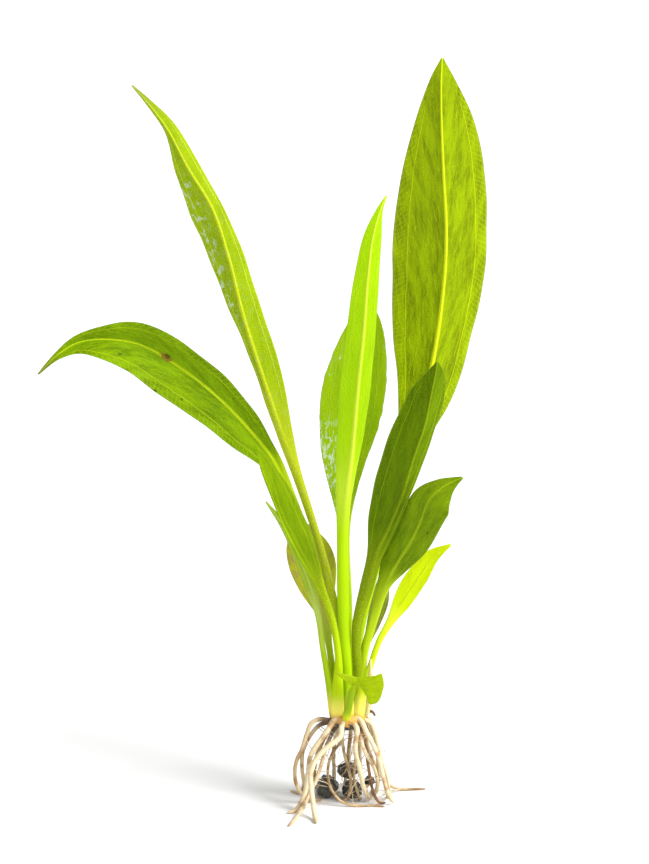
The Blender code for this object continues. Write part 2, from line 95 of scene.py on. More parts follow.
# %% Leaf rows: x, y, z, left width, left depth, right width, right depth
LEAF_ROWS = {
    "leaf_tall_right": (
        (1.8, 2.4, 34, 1.2), (2.4, 3.6, 45, 1.3), (3.8, 6, 58, 1.5), (7.6, 10, 75.5, 1.7),
        (16, 18.5, 103, 2.2, 0.5, 2.2, 0.5), (22.5, 25, 126, 5, 1.5, 5.3, 1.5),
        (28.5, 30, 146, 11, 4, 10.3, 3), (32, 32.5, 163.5, 16, 5, 12.3, 4),
        (34.5, 33.5, 185, 18.5, 5, 14.3, 5), (35, 33, 202.5, 18.5, 5, 14.8, 5),
        (34, 32, 219.5, 15.5, 4, 14.8, 5), (33, 30.5, 240, 9.5, 3, 11.8, 4),
        (32.7, 29, 255.5, 4, 1.5, 5.1, 2), (33, 28, 263.5, 0.4),
    ),
    "leaf_front_right": (
        (4.3, -2.9, 34, 1.7), (3.9, -3.2, 45, 1.6, 0, 1.7, 0), (3, -3.7, 58, 1.5, 0, 1.8, 0),
        (3.2, -5, 67, 1.7, 0, 1.8, 0), (6.6, -7, 80.5, 2.6, 0.45, 2.1, 0.5),
        (9.6, -9.5, 93, 3, 1.8, 2.4, -0.4), (14.5, -12, 105, 7.9, 4.95, 2.5, -1),
        (18.5, -14.2, 115.5, 10, 6.75, 2.6, -0.8), (22.5, -16, 129.5, 10, 7.2, 3.8, 1),
        (26.5, -16.5, 142, 9.3, 6.75, 4.1, 2), (28.5, -15, 151.5, 7, 4.95, 4.7, 2),
        (30, -13.5, 159, 2.8, 1.8, 3.3, 1), (30.7, -12.5, 163, 0.4),
    ),
    "leaf_low_right": (
        (4.9, -0.3, 34, 1.4), (5, -0.8, 45, 1.5), (5.8, -1.6, 56, 1.5),
        (9, -3.4, 68.3, 1.6, -0.5, 1.5, -0.5), (13.3, -7, 82, 3, 2.5, 1.6, -1),
        (17, -10, 90.5, 5.4, 4, 4, -2), (21.5, -13.8, 99, 6.4, 4.2, 6, -3),
        (25.2, -16, 107.5, 6.8, 3.4, 7, -3.5), (27.9, -18, 115.2, 5.6, 3, 7.8, -3.5),
        (32.4, -19.5, 120.2, 3.4, 0.5, 4.8, -1.5), (36.4, -20.5, 122.7, 1.6, 0, 2, -0.5),
        (39.4, -21.5, 124.2, 0.4),
    ),
    "leaf_yellow_right": (
        (4.9, 2.5, 34, 1.2), (5.5, 3.2, 42, 1.2), (8, 4.6, 49, 1.1), (11.3, 7, 58, 1.1),
        (15.4, 10, 64.5, 1.6), (20, 13.8, 71.2, 3.8, -1, 3.4, 1),
        (25.3, 17, 78.5, 4.6, -1, 3.4, 1), (30.3, 19.5, 85, 3.6, -0.5, 2.2, 0.5),
        (37.1, 21, 90, 0.4),
    ),
    "leaf_olive_right": (
        (3.4, 5.2, 34, 1.1), (4.2, 6.4, 44, 1.1), (6.4, 8.6, 55, 1.1),
        (9.6, 11.5, 64, 2.6, 0, 2.4, 0), (11.8, 14, 71, 3.4, 0, 2.9, 0),
        (13, 16, 78, 2.2, 0, 1.8, 0), (13.6, 17.5, 84, 0.4),
    ),
    "leaf_centre": (
        (0.7, -2.7, 34, 1.6, 0, 1.5, 0), (0.3, -3.2, 45, 1.9, 0, 1.5, 0), (-1, -3.9, 62, 2.1),
        (-1.7, -6, 80, 2.1), (-2, -9.4, 98, 1.9, 0, 2, 0), (-0.8, -13, 113.5, 3.4, 0.5, 1.8, 0.5),
        (1.2, -17, 131, 5.5, 1, 2.8, 1.5), (3.2, -21, 155, 6.1, 1.5, 4.4, 1.5),
        (5.2, -24, 176, 5.9, 1.5, 4, 1.5), (6.5, -24.5, 194, 4.6, 1.5, 3.9, 1.5),
        (8.2, -24, 208, 3.2, 1, 3, 1), (10.8, -23, 217.5, 1.3, 0.5, 0.9, 0.5),
        (12.8, -22, 222, 0.3),
    ),
    "leaf_behind_centre": (
        (1.5, -0.2, 34, 1.3), (0.8, 0.4, 50, 1.3), (0.2, 1.6, 75, 1.4),
        (-0.8, 3.8, 98, 1.9, 0, 1.6, 0), (-0.7, 6, 109.5, 4.6, -1, 3, -1),
        (0, 8, 123.5, 8.9, -2, 6.2, -1.5), (1.4, 10, 138.5, 11.4, -2, 10, -2),
        (2.4, 11.5, 152, 10.8, -2, 11.2, -2), (3.8, 12.5, 165, 7.2, -1.5, 9.6, -1.5),
        (5.4, 12.6, 175, 3.4, -1, 6, -1), (7, 12.4, 181.5, 0.5),
    ),
    "leaf_tall_left": (
        (-1.9, -0.3, 34, 1.4), (-1.6, -0.6, 48, 1.4), (-2.4, -1.2, 62, 1.4), (-5.3, -2.8, 77, 1.4),
        (-9.2, -3.8, 93.5, 1.3), (-12.9, -3.8, 106.5, 1.6, 0, 1.2, 0),
        (-18, -3.8, 122.5, 2, 0.5, 1.6, 0), (-23, -4.2, 136, 2, 1, 3.8, 0.6),
        (-29.3, -5.6, 155.5, 2.2, 1.5, 6.6, 1.8), (-36, -8, 177.5, 3.8, 3, 6.6, 2.4),
        (-41.2, -11, 199.5, 7, 5, 5.2, 2.4), (-46.6, -13, 216.5, 8.2, 5, 3.4, 1.8),
        (-54.6, -15, 230.5, 4.8, 3, 4, 1.8), (-61.4, -17, 244, 1.4, 1, 3, 1.2),
        (-67.6, -18, 252.5, 0.7, 0.3, 1.6, 0.36), (-73, -19, 259, 0.3),
    ),
    "leaf_arching_left": (
        (-1.1, 2.4, 34, 1.2), (-1.5, 4.4, 46, 1.3), (-3.8, 7.4, 62, 1.3), (-8.4, 9.8, 78, 1.3),
        (-14, 12, 94, 1.4), (-19.8, 13.5, 109, 2, 0, 1.6, 0),
        (-26, 14.5, 122, 4.6, -1, 2.68, -0.7), (-35, 15.5, 133.5, 8.5, -3, 5.64, -2.1),
        (-46, 16, 145, 10.5, -4, 7.22, -2.8), (-58.6, 16.5, 155, 11.3, -5, 8.42, -2.8),
        (-73, 17, 163.5, 10.1, -5, 8.22, -2.8), (-86.5, 17, 165.5, 6.6, -4, 5.04, -2.1),
        (-95.5, 17.3, 164.1, 3.6, -2.5, 2.77, -1.05), (-103, 17.6, 159.3, 1.5, -1, 1.19, -0.35),
        (-109.5, 18, 152.7, 0.3),
    ),
    "leaf_front_left": (
        (-3.4, -3.3, 34, 1.9, 0, 1.7, 0), (-3.4, -5.8, 44, 2.1, 0, 1.8, 0),
        (-3.3, -7, 56, 1.3, 0, 1.2, 0), (-5.4, -6.8, 69, 1.3), (-9.7, -6, 81.3, 1.7, 0, 1.8, -1.1),
        (-14, -6, 89.7, 2, 0, 4.4, -2.2), (-19, -6.2, 99, 1.8, 0, 6.6, -2.5),
        (-23.5, -6.4, 109.2, 1.6, 0, 6.6, -2.2), (-25.9, -6.6, 117.2, 2.2, 0, 5.2, -1.4),
        (-28.6, -6.8, 125, 2.2, 0, 2.6, -0.6), (-31.8, -7, 132, 0.3),
    ),
    "leaf_old_yellow": (
        (-4.4, 2.4, 34, 1.2), (-5.2, 3.4, 46, 1.2), (-7, 4.8, 60, 1.4),
        (-9.2, 6, 69, 2.4, 0, 3.8, 0), (-11.6, 6.6, 78, 5.6, 0, 7.6, 0),
        (-13.6, 6.6, 87, 7.4, 0, 9.2, 0), (-15.4, 6.2, 95, 6.2, 0, 7, 0), (-16.8, 5.8, 103, 0.6),
    ),
    "leaf_small_left": (
        (-5.2, -0.3, 34, 1.1), (-6.8, -0.4, 45, 1.1), (-8.9, -0.4, 58, 1),
        (-10.4, -0.2, 70, 1.3, 0, 1.2, 0), (-13.7, 0, 81.3, 2, 0, 1.7, 0.5),
        (-17.7, -0.2, 91.4, 1.6, 0, 2, 0.5), (-22.4, -0.4, 101.5, 1.2, 0, 1.6, 0),
        (-28.8, -0.6, 110.8, 0.3),
    ),
    "leaf_curled_front": (
        (-0.3, -5.6, 34, 1.1), (0.6, -7.4, 39, 1.1), (1.6, -9, 44.3, 1.2),
        (2.1, -9.5, 46, 1.3, 0, 1.4, -0.1), (2.4, -9.8, 46.8, 3.6, 0, 1.7, -0.3),
        (2.6, -10, 47.2, 7.6, 0, 2, -0.4), (2.9, -10.2, 47.6, 4, 0.1, 2.8, -0.5),
        (3.6, -10.4, 48.1, 1.8, 0.3, 4.6, -0.6), (5, -11, 48.7, 1.6, 0.5, 7.4, -0.9),
        (7.6, -12, 49.2, 1.2, 0.4, 8.6, -1.2), (10, -12.8, 50.2, 0.8, 0.2, 4.8, -0.8),
        (11.9, -13.2, 51.6, 0.4),
    ),
}


def full_row(row):
    """A stalk's row of four numbers, written out as one of seven."""
    x, y, z, half, *rest = row
    return row if rest else (x, y, z, half, 0, half, 0)


LEAVES = {name: [full_row(row) for row in rows] for name, rows in LEAF_ROWS.items()}

# %% Half thickness of a stalk at the crown and higher up
STALK_HALF = (0.9, 1)
STALKS = {
    "leaf_front_left": (0.8, 0.9), "leaf_centre": (0.9, 1.2),
    "leaf_front_right": (0.9, 1.2), "leaf_curled_front": (0.7, 0.6),
    "leaf_small_left": (0.8, 0.8), "leaf_yellow_right": (0.9, 0.8),
    "leaf_olive_right": (0.8, 0.7), "leaf_old_yellow": (0.8, 0.8),
}

# %% Roots: the radius at the crown and at the tip, then the points passed
ROOTS = {
    "root_left_1": (
        (0.85, 0.6), (-6.4, -2, 31.5), (-9.4, -2.6, 31.92), (-12.6, -3, 30.87), (-14.6, -3, 26.25),
        (-16.2, -3, 21), (-18.4, -3, 15.75), (-18.6, -2.6, 9.45), (-16.6, -1.6, 4.2),
        (-12.6, 0.4, 0.7), (-9, 2.6, 0.5),
    ),
    "root_left_2": (
        (0.85, 0.6), (-6.6, 0.8, 29.82), (-9.8, 1.6, 28.56), (-13.4, 2.4, 24.15),
        (-16, 3.2, 17.85), (-16.2, 4.6, 10.5), (-15.6, 6.4, 4.2), (-17.4, 9.6, 0.7),
        (-20.6, 12.4, 0.5),
    ),
    "root_left_3": (
        (1, 0.8), (-5.4, -4.7, 31.4), (-7.7, -6, 27.9), (-11.4, -6.8, 22.9), (-13.2, -7.2, 19.5),
        (-13.9, -7.8, 14.6), (-15.4, -8.6, 5.67), (-18.2, -10.6, 1), (-21.2, -13.4, 0.7),
    ),
    "root_left_4": (
        (0.9, 0.7), (-5, 3.6, 27.93), (-7.4, 5.6, 24.15), (-9.6, 7.6, 18.9), (-11.4, 9.4, 12.6),
        (-12, 11.4, 6.3), (-11.4, 14, 1.4), (-9, 16.6, 0.6),
    ),
    "root_front_left": (
        (1, 0.9), (-2.1, -6.5, 30.4), (-2.6, -8.2, 27.2), (-5.9, -9.6, 24.7), (-8.8, -10.2, 22.4),
        (-11.4, -10.8, 19.2), (-13, -11.8, 15), (-12.8, -13.6, 9), (-12, -16.6, 3.8),
        (-11.4, -20.6, 0.9), (-11, -24.6, 0.8),
    ),
    "root_long_left": (
        (0.8, 0.5), (-4.4, -1.6, 28.2), (-7.2, -2.6, 22.8), (-9.4, -4, 15.3), (-12, -6, 8.4),
        (-14.6, -10.6, 4.2), (-16.8, -16, 1.68), (-19, -22, 0.7), (-20.8, -27.6, 0.45),
    ),
    "root_loop_left": (
        (0.55, 0.45), (-1.2, 3, 26.31), (-2.8, 2.2, 21.54), (-5.6, 0, 18.03), (-7, -2, 12.6),
        (-5.8, -3.6, 6.3), (-2, -4.6, 1.89), (3.2, -5, 0.5), (8.4, -4.6, 0.4), (13.4, -5.4, 0.35),
    ),
    "root_front_1": (
        (0.9, 0.8), (3.4, -6.6, 29.4), (2.8, -7.8, 25.2), (2.8, -7.8, 21), (3.9, -6.8, 16.38),
        (4.9, -5.4, 11.55), (5.6, -3.6, 7.35), (7, -1, 3.15), (8.4, 2, 0.7),
    ),
    "root_front_2": (
        (0.75, 0.6), (4.4, -5.9, 26.88), (5.3, -7, 23.73), (6.4, -6.2, 20.37), (8.4, -4.8, 16.59),
        (9.8, -3.4, 13.02), (10.6, -1.8, 9.45), (10.6, 0.6, 5.67), (9.8, 3.4, 2.1), (8.8, 6, 0.6),
    ),
    "root_middle": (
        (0.6, 0.5), (-1.8, -3, 27.04), (-1.4, -3.6, 20.7), (0.2, -3.4, 14.25), (1.2, -2.6, 9.03),
        (0.6, -1.6, 3.78), (-1.4, 0.6, 0.6), (-4.4, 3.6, 0.45),
    ),
    "root_right_1": (
        (0.9, 0.7), (5.1, -5, 31.5), (6.4, -6.8, 28.98), (8.2, -7.4, 25.62), (9.8, -7.4, 22.05),
        (11.2, -7, 18.06), (12.2, -6.4, 13.65), (13.4, -5.2, 8.4), (14.8, -3.8, 3.57),
        (16.6, -2.4, 0.6),
    ),
    "root_right_2": (
        (0.9, 0.6), (6.9, -2.4, 31.08), (8.6, -3.2, 30.03), (9.9, -3.6, 26.25),
        (10.9, -3.6, 21.63), (12.3, -3.2, 16.38), (13.7, -2.6, 11.97), (14.6, -1.6, 7.56),
        (14.6, 0.2, 3.15), (13.6, 2.8, 0.5),
    ),
    "root_right_3": (
        (0.9, 0.6), (7.2, 0.4, 31.5), (8.6, 0.8, 28.35), (10, 1, 23.1), (12, 1, 16.8),
        (13.4, 1.4, 10.08), (14.4, 2.8, 4.2), (15.6, 5.4, 0.8), (15.2, 8.6, 0.5),
    ),
    "root_right_4": (
        (0.8, 0.6), (6.6, 2.9, 29.4), (8.6, 3.6, 24.78), (10.4, 4, 18.27), (11.2, 4.6, 11.55),
        (11.2, 6.4, 5.25), (10.2, 9.2, 1), (8.2, 12.4, 0.5),
    ),
    "root_trailing": (
        (0.7, 0.45), (4.4, 5, 27.93), (6.4, 7.2, 22.05), (8.6, 9, 14.7), (11.4, 10.6, 8.4),
        (14.6, 12.4, 3.15), (18.6, 13.4, 0.8), (23.4, 14.2, 0.5), (28.6, 15, 0.35),
    ),
    "root_back_1": (
        (0.85, 0.6), (0.8, 6.4, 28.35), (1.2, 9, 23.73), (0.6, 11.4, 16.8), (0, 13.4, 9.45),
        (-0.6, 16.4, 3.15), (-0.2, 20.4, 0.6), (1, 24.6, 0.5),
    ),
    "root_back_2": (
        (0.8, 0.6), (-2.6, 5.8, 26.25), (-4.4, 8.6, 21), (-5, 11.4, 13.65), (-4.6, 14.6, 6.3),
        (-5.4, 18.6, 1), (-8.4, 22, 0.5),
    ),
    "root_back_3": (
        (0.8, 0.6), (2, 5.2, 28.2), (4, 7.6, 21.75), (4.6, 10.4, 13.2), (5.2, 13.4, 5.67),
        (6.8, 16.8, 0.9), (9.4, 20.4, 0.5),
    ),
    "root_across": (
        (0.6, 0.45), (2.6, -0.4, 27.04), (3.4, -0.4, 20.7), (2.6, -0.8, 14.88), (2.4, 0, 8.82),
        (3.6, 0.4, 3.99), (4.4, 1.6, 1), (5.2, 4.2, 0.45),
    ),
    "root_orange": (
        (0.6, 0.5), (4.4, 1.6, 27.78), (6.2, 1, 21.75), (7.4, -1, 14.25), (8.4, -2.6, 8.4),
        (9.6, -3.2, 3.78), (11.6, -2.4, 0.8), (13.8, -1, 0.45),
    ),
}
STUB_RADII = (0.7, 0.4)
STUB = ((7, -1.6, 34), (8.2, -2.2, 34.8), (9.2, -2.6, 34.2), (9.8, -2.8, 33))

# %% The dry sheath and the gravel
SHEATH = (  # x, y, z and half width, from the crown to the tip
    (6.9, -3.6, 34, 0.9),
    (7.6, -3.4, 38, 1.2),
    (7.9, -3, 45, 1.2),
    (8.1, -2.6, 50, 0.8),
    (8.2, -2.2, 54, 0.3),
)
GRAVEL = {  # centre and half sizes
    "gravel_left": ((-7.2, 6.4, 4.2), (2.8, 3.2, 3.2)),
    "gravel_top": ((0.2, 4, 10.9), (2.9, 2.4, 2.2)),
    "gravel_low": ((1.6, 5.4, 3.2), (2.7, 2.8, 2.6)),
    "gravel_right": ((7.8, 4.4, 6.9), (1.5, 1.3, 1.3)),
}


# %% [markdown]
# ## Camera, light and floor
#
# The plant is seen from the front and a little above, through a long lens, so
# that its leaves keep their true proportions. A soft sun stands to the right
# and a bit in front, and the room is brighter on that side, as a room with a
# window is. The floor is so bright that it blends into the white room, and only
# the shadows draw it.

# %% Camera
AIM = AXIS + Vector((-8.2, 1.1, 135.4)) * MM
EYE = AXIS + Vector((-8.2, -1172.6, 385)) * MM
LENS = 190.2  # in millimetres, on a sensor 36 mm wide
camera = new_object("camera", bpy.data.cameras.new("camera"))
camera.location = EYE
camera.rotation_euler = (AIM - EYE).to_track_quat("-Z", "Y").to_euler()
camera.data.sensor_fit = "HORIZONTAL"
camera.data.sensor_width = 36
camera.data.lens = LENS
bpy.context.scene.camera = camera
bpy.context.scene.view_settings.view_transform = "Standard"

# %% Sun and white room
WINDOW_SIDE = (0.7, -0.3, 0.65)
ROOM_DARKEST, ROOM_BRIGHTEST = 0.36, 0.9
SUN_FROM = Vector((0.663, -0.383, 0.643))
SUN_STRENGTH = 4.4
SUN_SIZE = 0.5  # as an angle in radians: a wide sun casts soft shadows
sun = new_object("sun", bpy.data.lights.new("sun", "SUN"))
sun.rotation_euler = (-SUN_FROM).to_track_quat("-Z", "Y").to_euler()
sun.location = AXIS + SUN_FROM
sun.data.energy = SUN_STRENGTH
sun.data.angle = SUN_SIZE
room = bpy.data.worlds.new("room")
room.use_nodes = True
nodes, link = room.node_tree.nodes, room.node_tree.links.new
direction = nodes.new("ShaderNodeTexCoord")
towards = nodes.new("ShaderNodeVectorMath")
towards.operation = "DOT_PRODUCT"
towards.inputs[1].default_value = WINDOW_SIDE
strength = nodes.new("ShaderNodeMapRange")
strength.inputs["From Min"].default_value = -1.0
strength.inputs["To Min"].default_value = ROOM_DARKEST
strength.inputs["To Max"].default_value = ROOM_BRIGHTEST
background = nodes["Background"]
background.inputs["Color"].default_value = (1, 1, 1, 1)
link(direction.outputs["Generated"], towards.inputs[0])
link(towards.outputs["Value"], strength.inputs["Value"])
link(strength.outputs["Result"], background.inputs["Strength"])
bpy.context.scene.world = room


# %% [markdown]
# ## Writing shader maths as Python
#
# A material is a graph of nodes. Written out node by node it is hard to read,
# so a small class wraps one output socket, and Python's operators on it add
# Math nodes. Every other node comes from one method, `add`, which takes the
# node's type, its settings, and the values or links of its sockets.

# %% A wrapped socket
def operator(operation, flipped=False):
    """A method that adds one Math node."""

    def method(self, *other):
        values = (*other, self) if flipped else (self, *other)
        return self.paint.maths(operation, *values)

    return method


class Socket:
    """One output of a node. Operators on it add Math nodes."""

    def __init__(self, paint, socket):
        self.paint = paint
        self.socket = socket

    __add__ = __radd__ = operator("ADD")
    __sub__ = operator("SUBTRACT")
    __rsub__ = operator("SUBTRACT", flipped=True)
    __mul__ = __rmul__ = operator("MULTIPLY")
    __truediv__ = operator("DIVIDE")
    __abs__ = operator("ABSOLUTE")


# %% The paint box: one material and its nodes
class Paint:
    """A material under construction."""

    def __init__(self, name):
        self.material = bpy.data.materials.new(name)
        self.material.use_nodes = True
        self.tree = self.material.node_tree
        self.tree.nodes.clear()

    def add(self, kind, settings=None, sockets=None, out=0):
        """A node of any kind: its settings first, then its sockets."""
        node = self.tree.nodes.new("ShaderNode" + kind)
        for key, value in (settings or {}).items():
            setattr(node, key, value)
        for key, value in (sockets or {}).items():
            if isinstance(value, Socket):
                self.tree.links.new(value.socket, node.inputs[key])
            else:
                node.inputs[key].default_value = value
        return Socket(self, node.outputs[out])

    def maths(self, operation, *values):
        return self.add("Math", {"operation": operation}, dict(enumerate(values)))

    def most(self, a, b):
        return self.maths("MAXIMUM", a, b)

    def split(self, vector):
        """The three numbers of a vector."""
        first = self.add("SeparateXYZ", sockets={0: vector})
        return [Socket(self, out) for out in first.socket.node.outputs]

    def join(self, x, y, z):
        return self.add("CombineXYZ", sockets={0: x, 1: y, 2: z})

    def noted(self, name):
        """The three numbers that note() wrote on the skin."""
        return self.split(self.add("Attribute", {"attribute_name": name}, out="Vector"))

    def rise(self, value, start, end):
        """0 below start and 1 above end, with a smooth step between them."""
        sockets = {"Value": value, "From Min": start, "From Max": end}
        return self.add("MapRange", {"interpolation_type": "SMOOTHSTEP"}, sockets)

    def fall(self, value, start, end):
        return 1 - self.rise(value, start, end)

    def mix(self, share, a, b):
        """Colour a where share is 0, and colour b where it is 1."""
        settings = {"data_type": "RGBA", "blend_type": "MIX"}
        return self.add("Mix", settings, {0: share, 6: colour(a), 7: colour(b)}, out=2)

    def noise(self, where, scale, detail=3.0, rough=0.55):
        sockets = {"Vector": where, "Scale": scale, "Detail": detail, "Roughness": rough}
        return self.add("TexNoise", sockets=sockets)

    def millimetres(self):
        """The place on the object, in millimetres."""
        place = self.add("TexCoord", out="Object")
        return self.add("VectorMath", {"operation": "SCALE"}, {0: place, "Scale": 1000.0})

    def bump(self, height, depth, strength):
        sockets = {"Strength": strength, "Distance": depth, "Height": height}
        return self.add("Bump", sockets=sockets)

    def surface(self, sockets):
        return self.add("BsdfPrincipled", sockets=sockets)

    def finish(self, shader):
        output = self.tree.nodes.new("ShaderNodeOutputMaterial")
        self.tree.links.new(shader.socket, output.inputs["Surface"])
        return self.material


def colour(value):
    """Three numbers as a colour socket's four, and anything else as it is."""
    return (*value, 1.0) if isinstance(value, tuple) else value


# %% Floor
def floor_finish():
    paint = Paint("studio_floor")
    speckle = paint.noise(paint.millimetres(), 0.02)
    shade = paint.mix(speckle, (0.77, 0.77, 0.77), (0.78, 0.78, 0.78))
    return paint.finish(paint.surface({"Base Color": shade, "Roughness": 0.9}))


FLOOR_HALF = 30.0  # in metres
bm = bmesh.new()
bmesh.ops.create_grid(bm, x_segments=1, y_segments=1, size=FLOOR_HALF)
floor = new_object("floor", mesh_from(bm, "floor"))
floor.data.materials.append(floor_finish())


# %% [markdown]
# ## A skin that can become a leaf or a root
#
# Leaves, roots, stalks and sheaths are all long closed skins. Each starts as a
# cylinder whose sides are cut into rings. Every vertex then knows two things:
# its angle round the skin, and how far along it lies. A function of these two
# puts it in place. The cylinder keeps the faces, the ends and the normals in
# order, so that only the shape is left to think about.

# %% Smooth curves through rows
def along(rows, count):
    """count rows spread over a smooth curve through the given rows."""
    rows = np.array(rows, float)
    steps = np.linalg.norm(np.diff(rows[:, :3], axis=0), axis=1)
    at = np.concatenate([[0], np.cumsum(np.sqrt(steps))])
    slopes = np.gradient(rows, at, axis=0)
    s = np.linspace(0, at[-1], count)
    i = np.clip(np.searchsorted(at, s, "right") - 1, 0, len(rows) - 2)
    h = (at[i + 1] - at[i])[:, None]
    u = ((s - at[i]) / h[:, 0])[:, None]
    return (
        (2 * u**3 - 3 * u**2 + 1) * rows[i]
        + (u**3 - 2 * u**2 + u) * h * slopes[i]
        + (3 * u**2 - 2 * u**3) * rows[i + 1]
        + (u**3 - u**2) * h * slopes[i + 1]
    )


def unit(vectors):
    return vectors / np.maximum(np.linalg.norm(vectors, axis=-1, keepdims=True), 1e-9)


def lengths_along(points):
    steps = np.linalg.norm(np.diff(points, axis=0), axis=1)
    return np.concatenate([[0], np.cumsum(steps)])


# %% The closed skin
def places_in(mesh):
    at = np.empty(len(mesh.vertices) * 3)
    mesh.vertices.foreach_get("co", at)
    return at.reshape(-1, 3)


def closed_skin(around, rings):
    """A mesh of one closed tube, and each vertex's angle and ring."""
    bm = bmesh.new()
    bmesh.ops.create_cone(
        bm, cap_ends=True, cap_tris=False, segments=around, radius1=1, radius2=1, depth=1
    )
    sides = [e for e in bm.edges if abs(e.verts[0].co.z - e.verts[1].co.z) > 0.5]
    bmesh.ops.subdivide_edges(bm, edges=sides, cuts=rings - 2, use_grid_fill=True)
    mesh = mesh_from(bm, "skin")
    at = places_in(mesh)
    ring = np.rint((at[:, 2] + 0.5) * (rings - 1)).astype(int)
    return mesh, np.arctan2(at[:, 1], at[:, 0]), ring


def place(mesh, points, name, finish, slot, *nodes):
    """Moves the vertices to their points, and makes a piece that stands for the CAD nodes."""
    mesh.vertices.foreach_set("co", (points * MM + np.array(AXIS)).ravel())
    mesh.update()
    bm = bmesh.new()
    bm.from_mesh(mesh)
    bmesh.ops.recalc_face_normals(bm, faces=bm.faces)
    bm.to_mesh(mesh)
    bm.free()
    mesh.shade_smooth()
    mesh.materials.append(finish)
    piece = new_object(name, mesh)
    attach(piece, "root")
    if nodes:
        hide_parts(*nodes)
    print(name, len(mesh.polygons), "faces")


def note(mesh, name, *columns):
    """Writes three numbers on every vertex, for the material to read."""
    values = np.stack([np.broadcast_to(c, len(mesh.vertices)) for c in columns], axis=1)
    attribute = mesh.attributes.new(name, "FLOAT_VECTOR", "POINT")
    attribute.data.foreach_set("vector", values.astype(np.float32).ravel())


# %% [markdown]
# ## What a leaf is painted with
#
# A sword plant's blade has a broad pale midrib, one long vein out on each side,
# fine veins that leave the midrib at a low angle, and a net of tiny veins in
# between. Light shines through the thin blade and makes it glow yellow-green,
# but not through the thick midrib and stalk. So the finish mixes an ordinary
# surface with a translucent one, and the veins decide how much of each shows.
# All patterns read how far a point is along and across its own leaf.

# %% The look of one leaf
# A spot is its place along and across, its size and its colour.
# A glare is a patch of painted reflection, pale wet glints: where it starts and stops, its side
# (-1 is left) and its amount.
LEAF = dict(
    dark=(0.16, 0.27, 0.004), light=(0.26, 0.42, 0.005), glow=(0.3, 0.5, 0.002), through=0.42,
    vein=(0.5, 0.68, 0.02), rib=0.8, rib_share=0.8,
    long_vein=0.7, long_share=0.5, side_share=0.22,
    stalk=(0.42, 0.6, 0.02), stem=(0.62, 0.78, 0.003), stem_end=48.0,
    foot=(0.98, 0.85, 0.15), foot_end=14.0, rust=(0.74, 0.42, 0.08), rust_end=6.0,
    edge=(0.4, 0.5, 0.1), edge_share=0.35, tip=(0.2, 0.16, 0.03), tip_share=0.0,
    wet=0.0, glare=(), spots=(), blotch=None, blotch_share=0.0,
)
LINE_TAPER = 0.82  # the share of its width that the midrib loses by the tip
SLANT = 2.6  # how much steeper than straight across the side veins run
SIDE_VEIN_GAP = 4.2  # between two veins along the leaf, in millimetres
CROSS_VEIN_GAP = 1.9
BACK_SHIFT = 30.0  # moves the patterns on, so that the back has its own
# The pale colour of the painted glints where a wet patch reflects the light.
WET_SHEEN = (0.72, 0.82, 0.66)


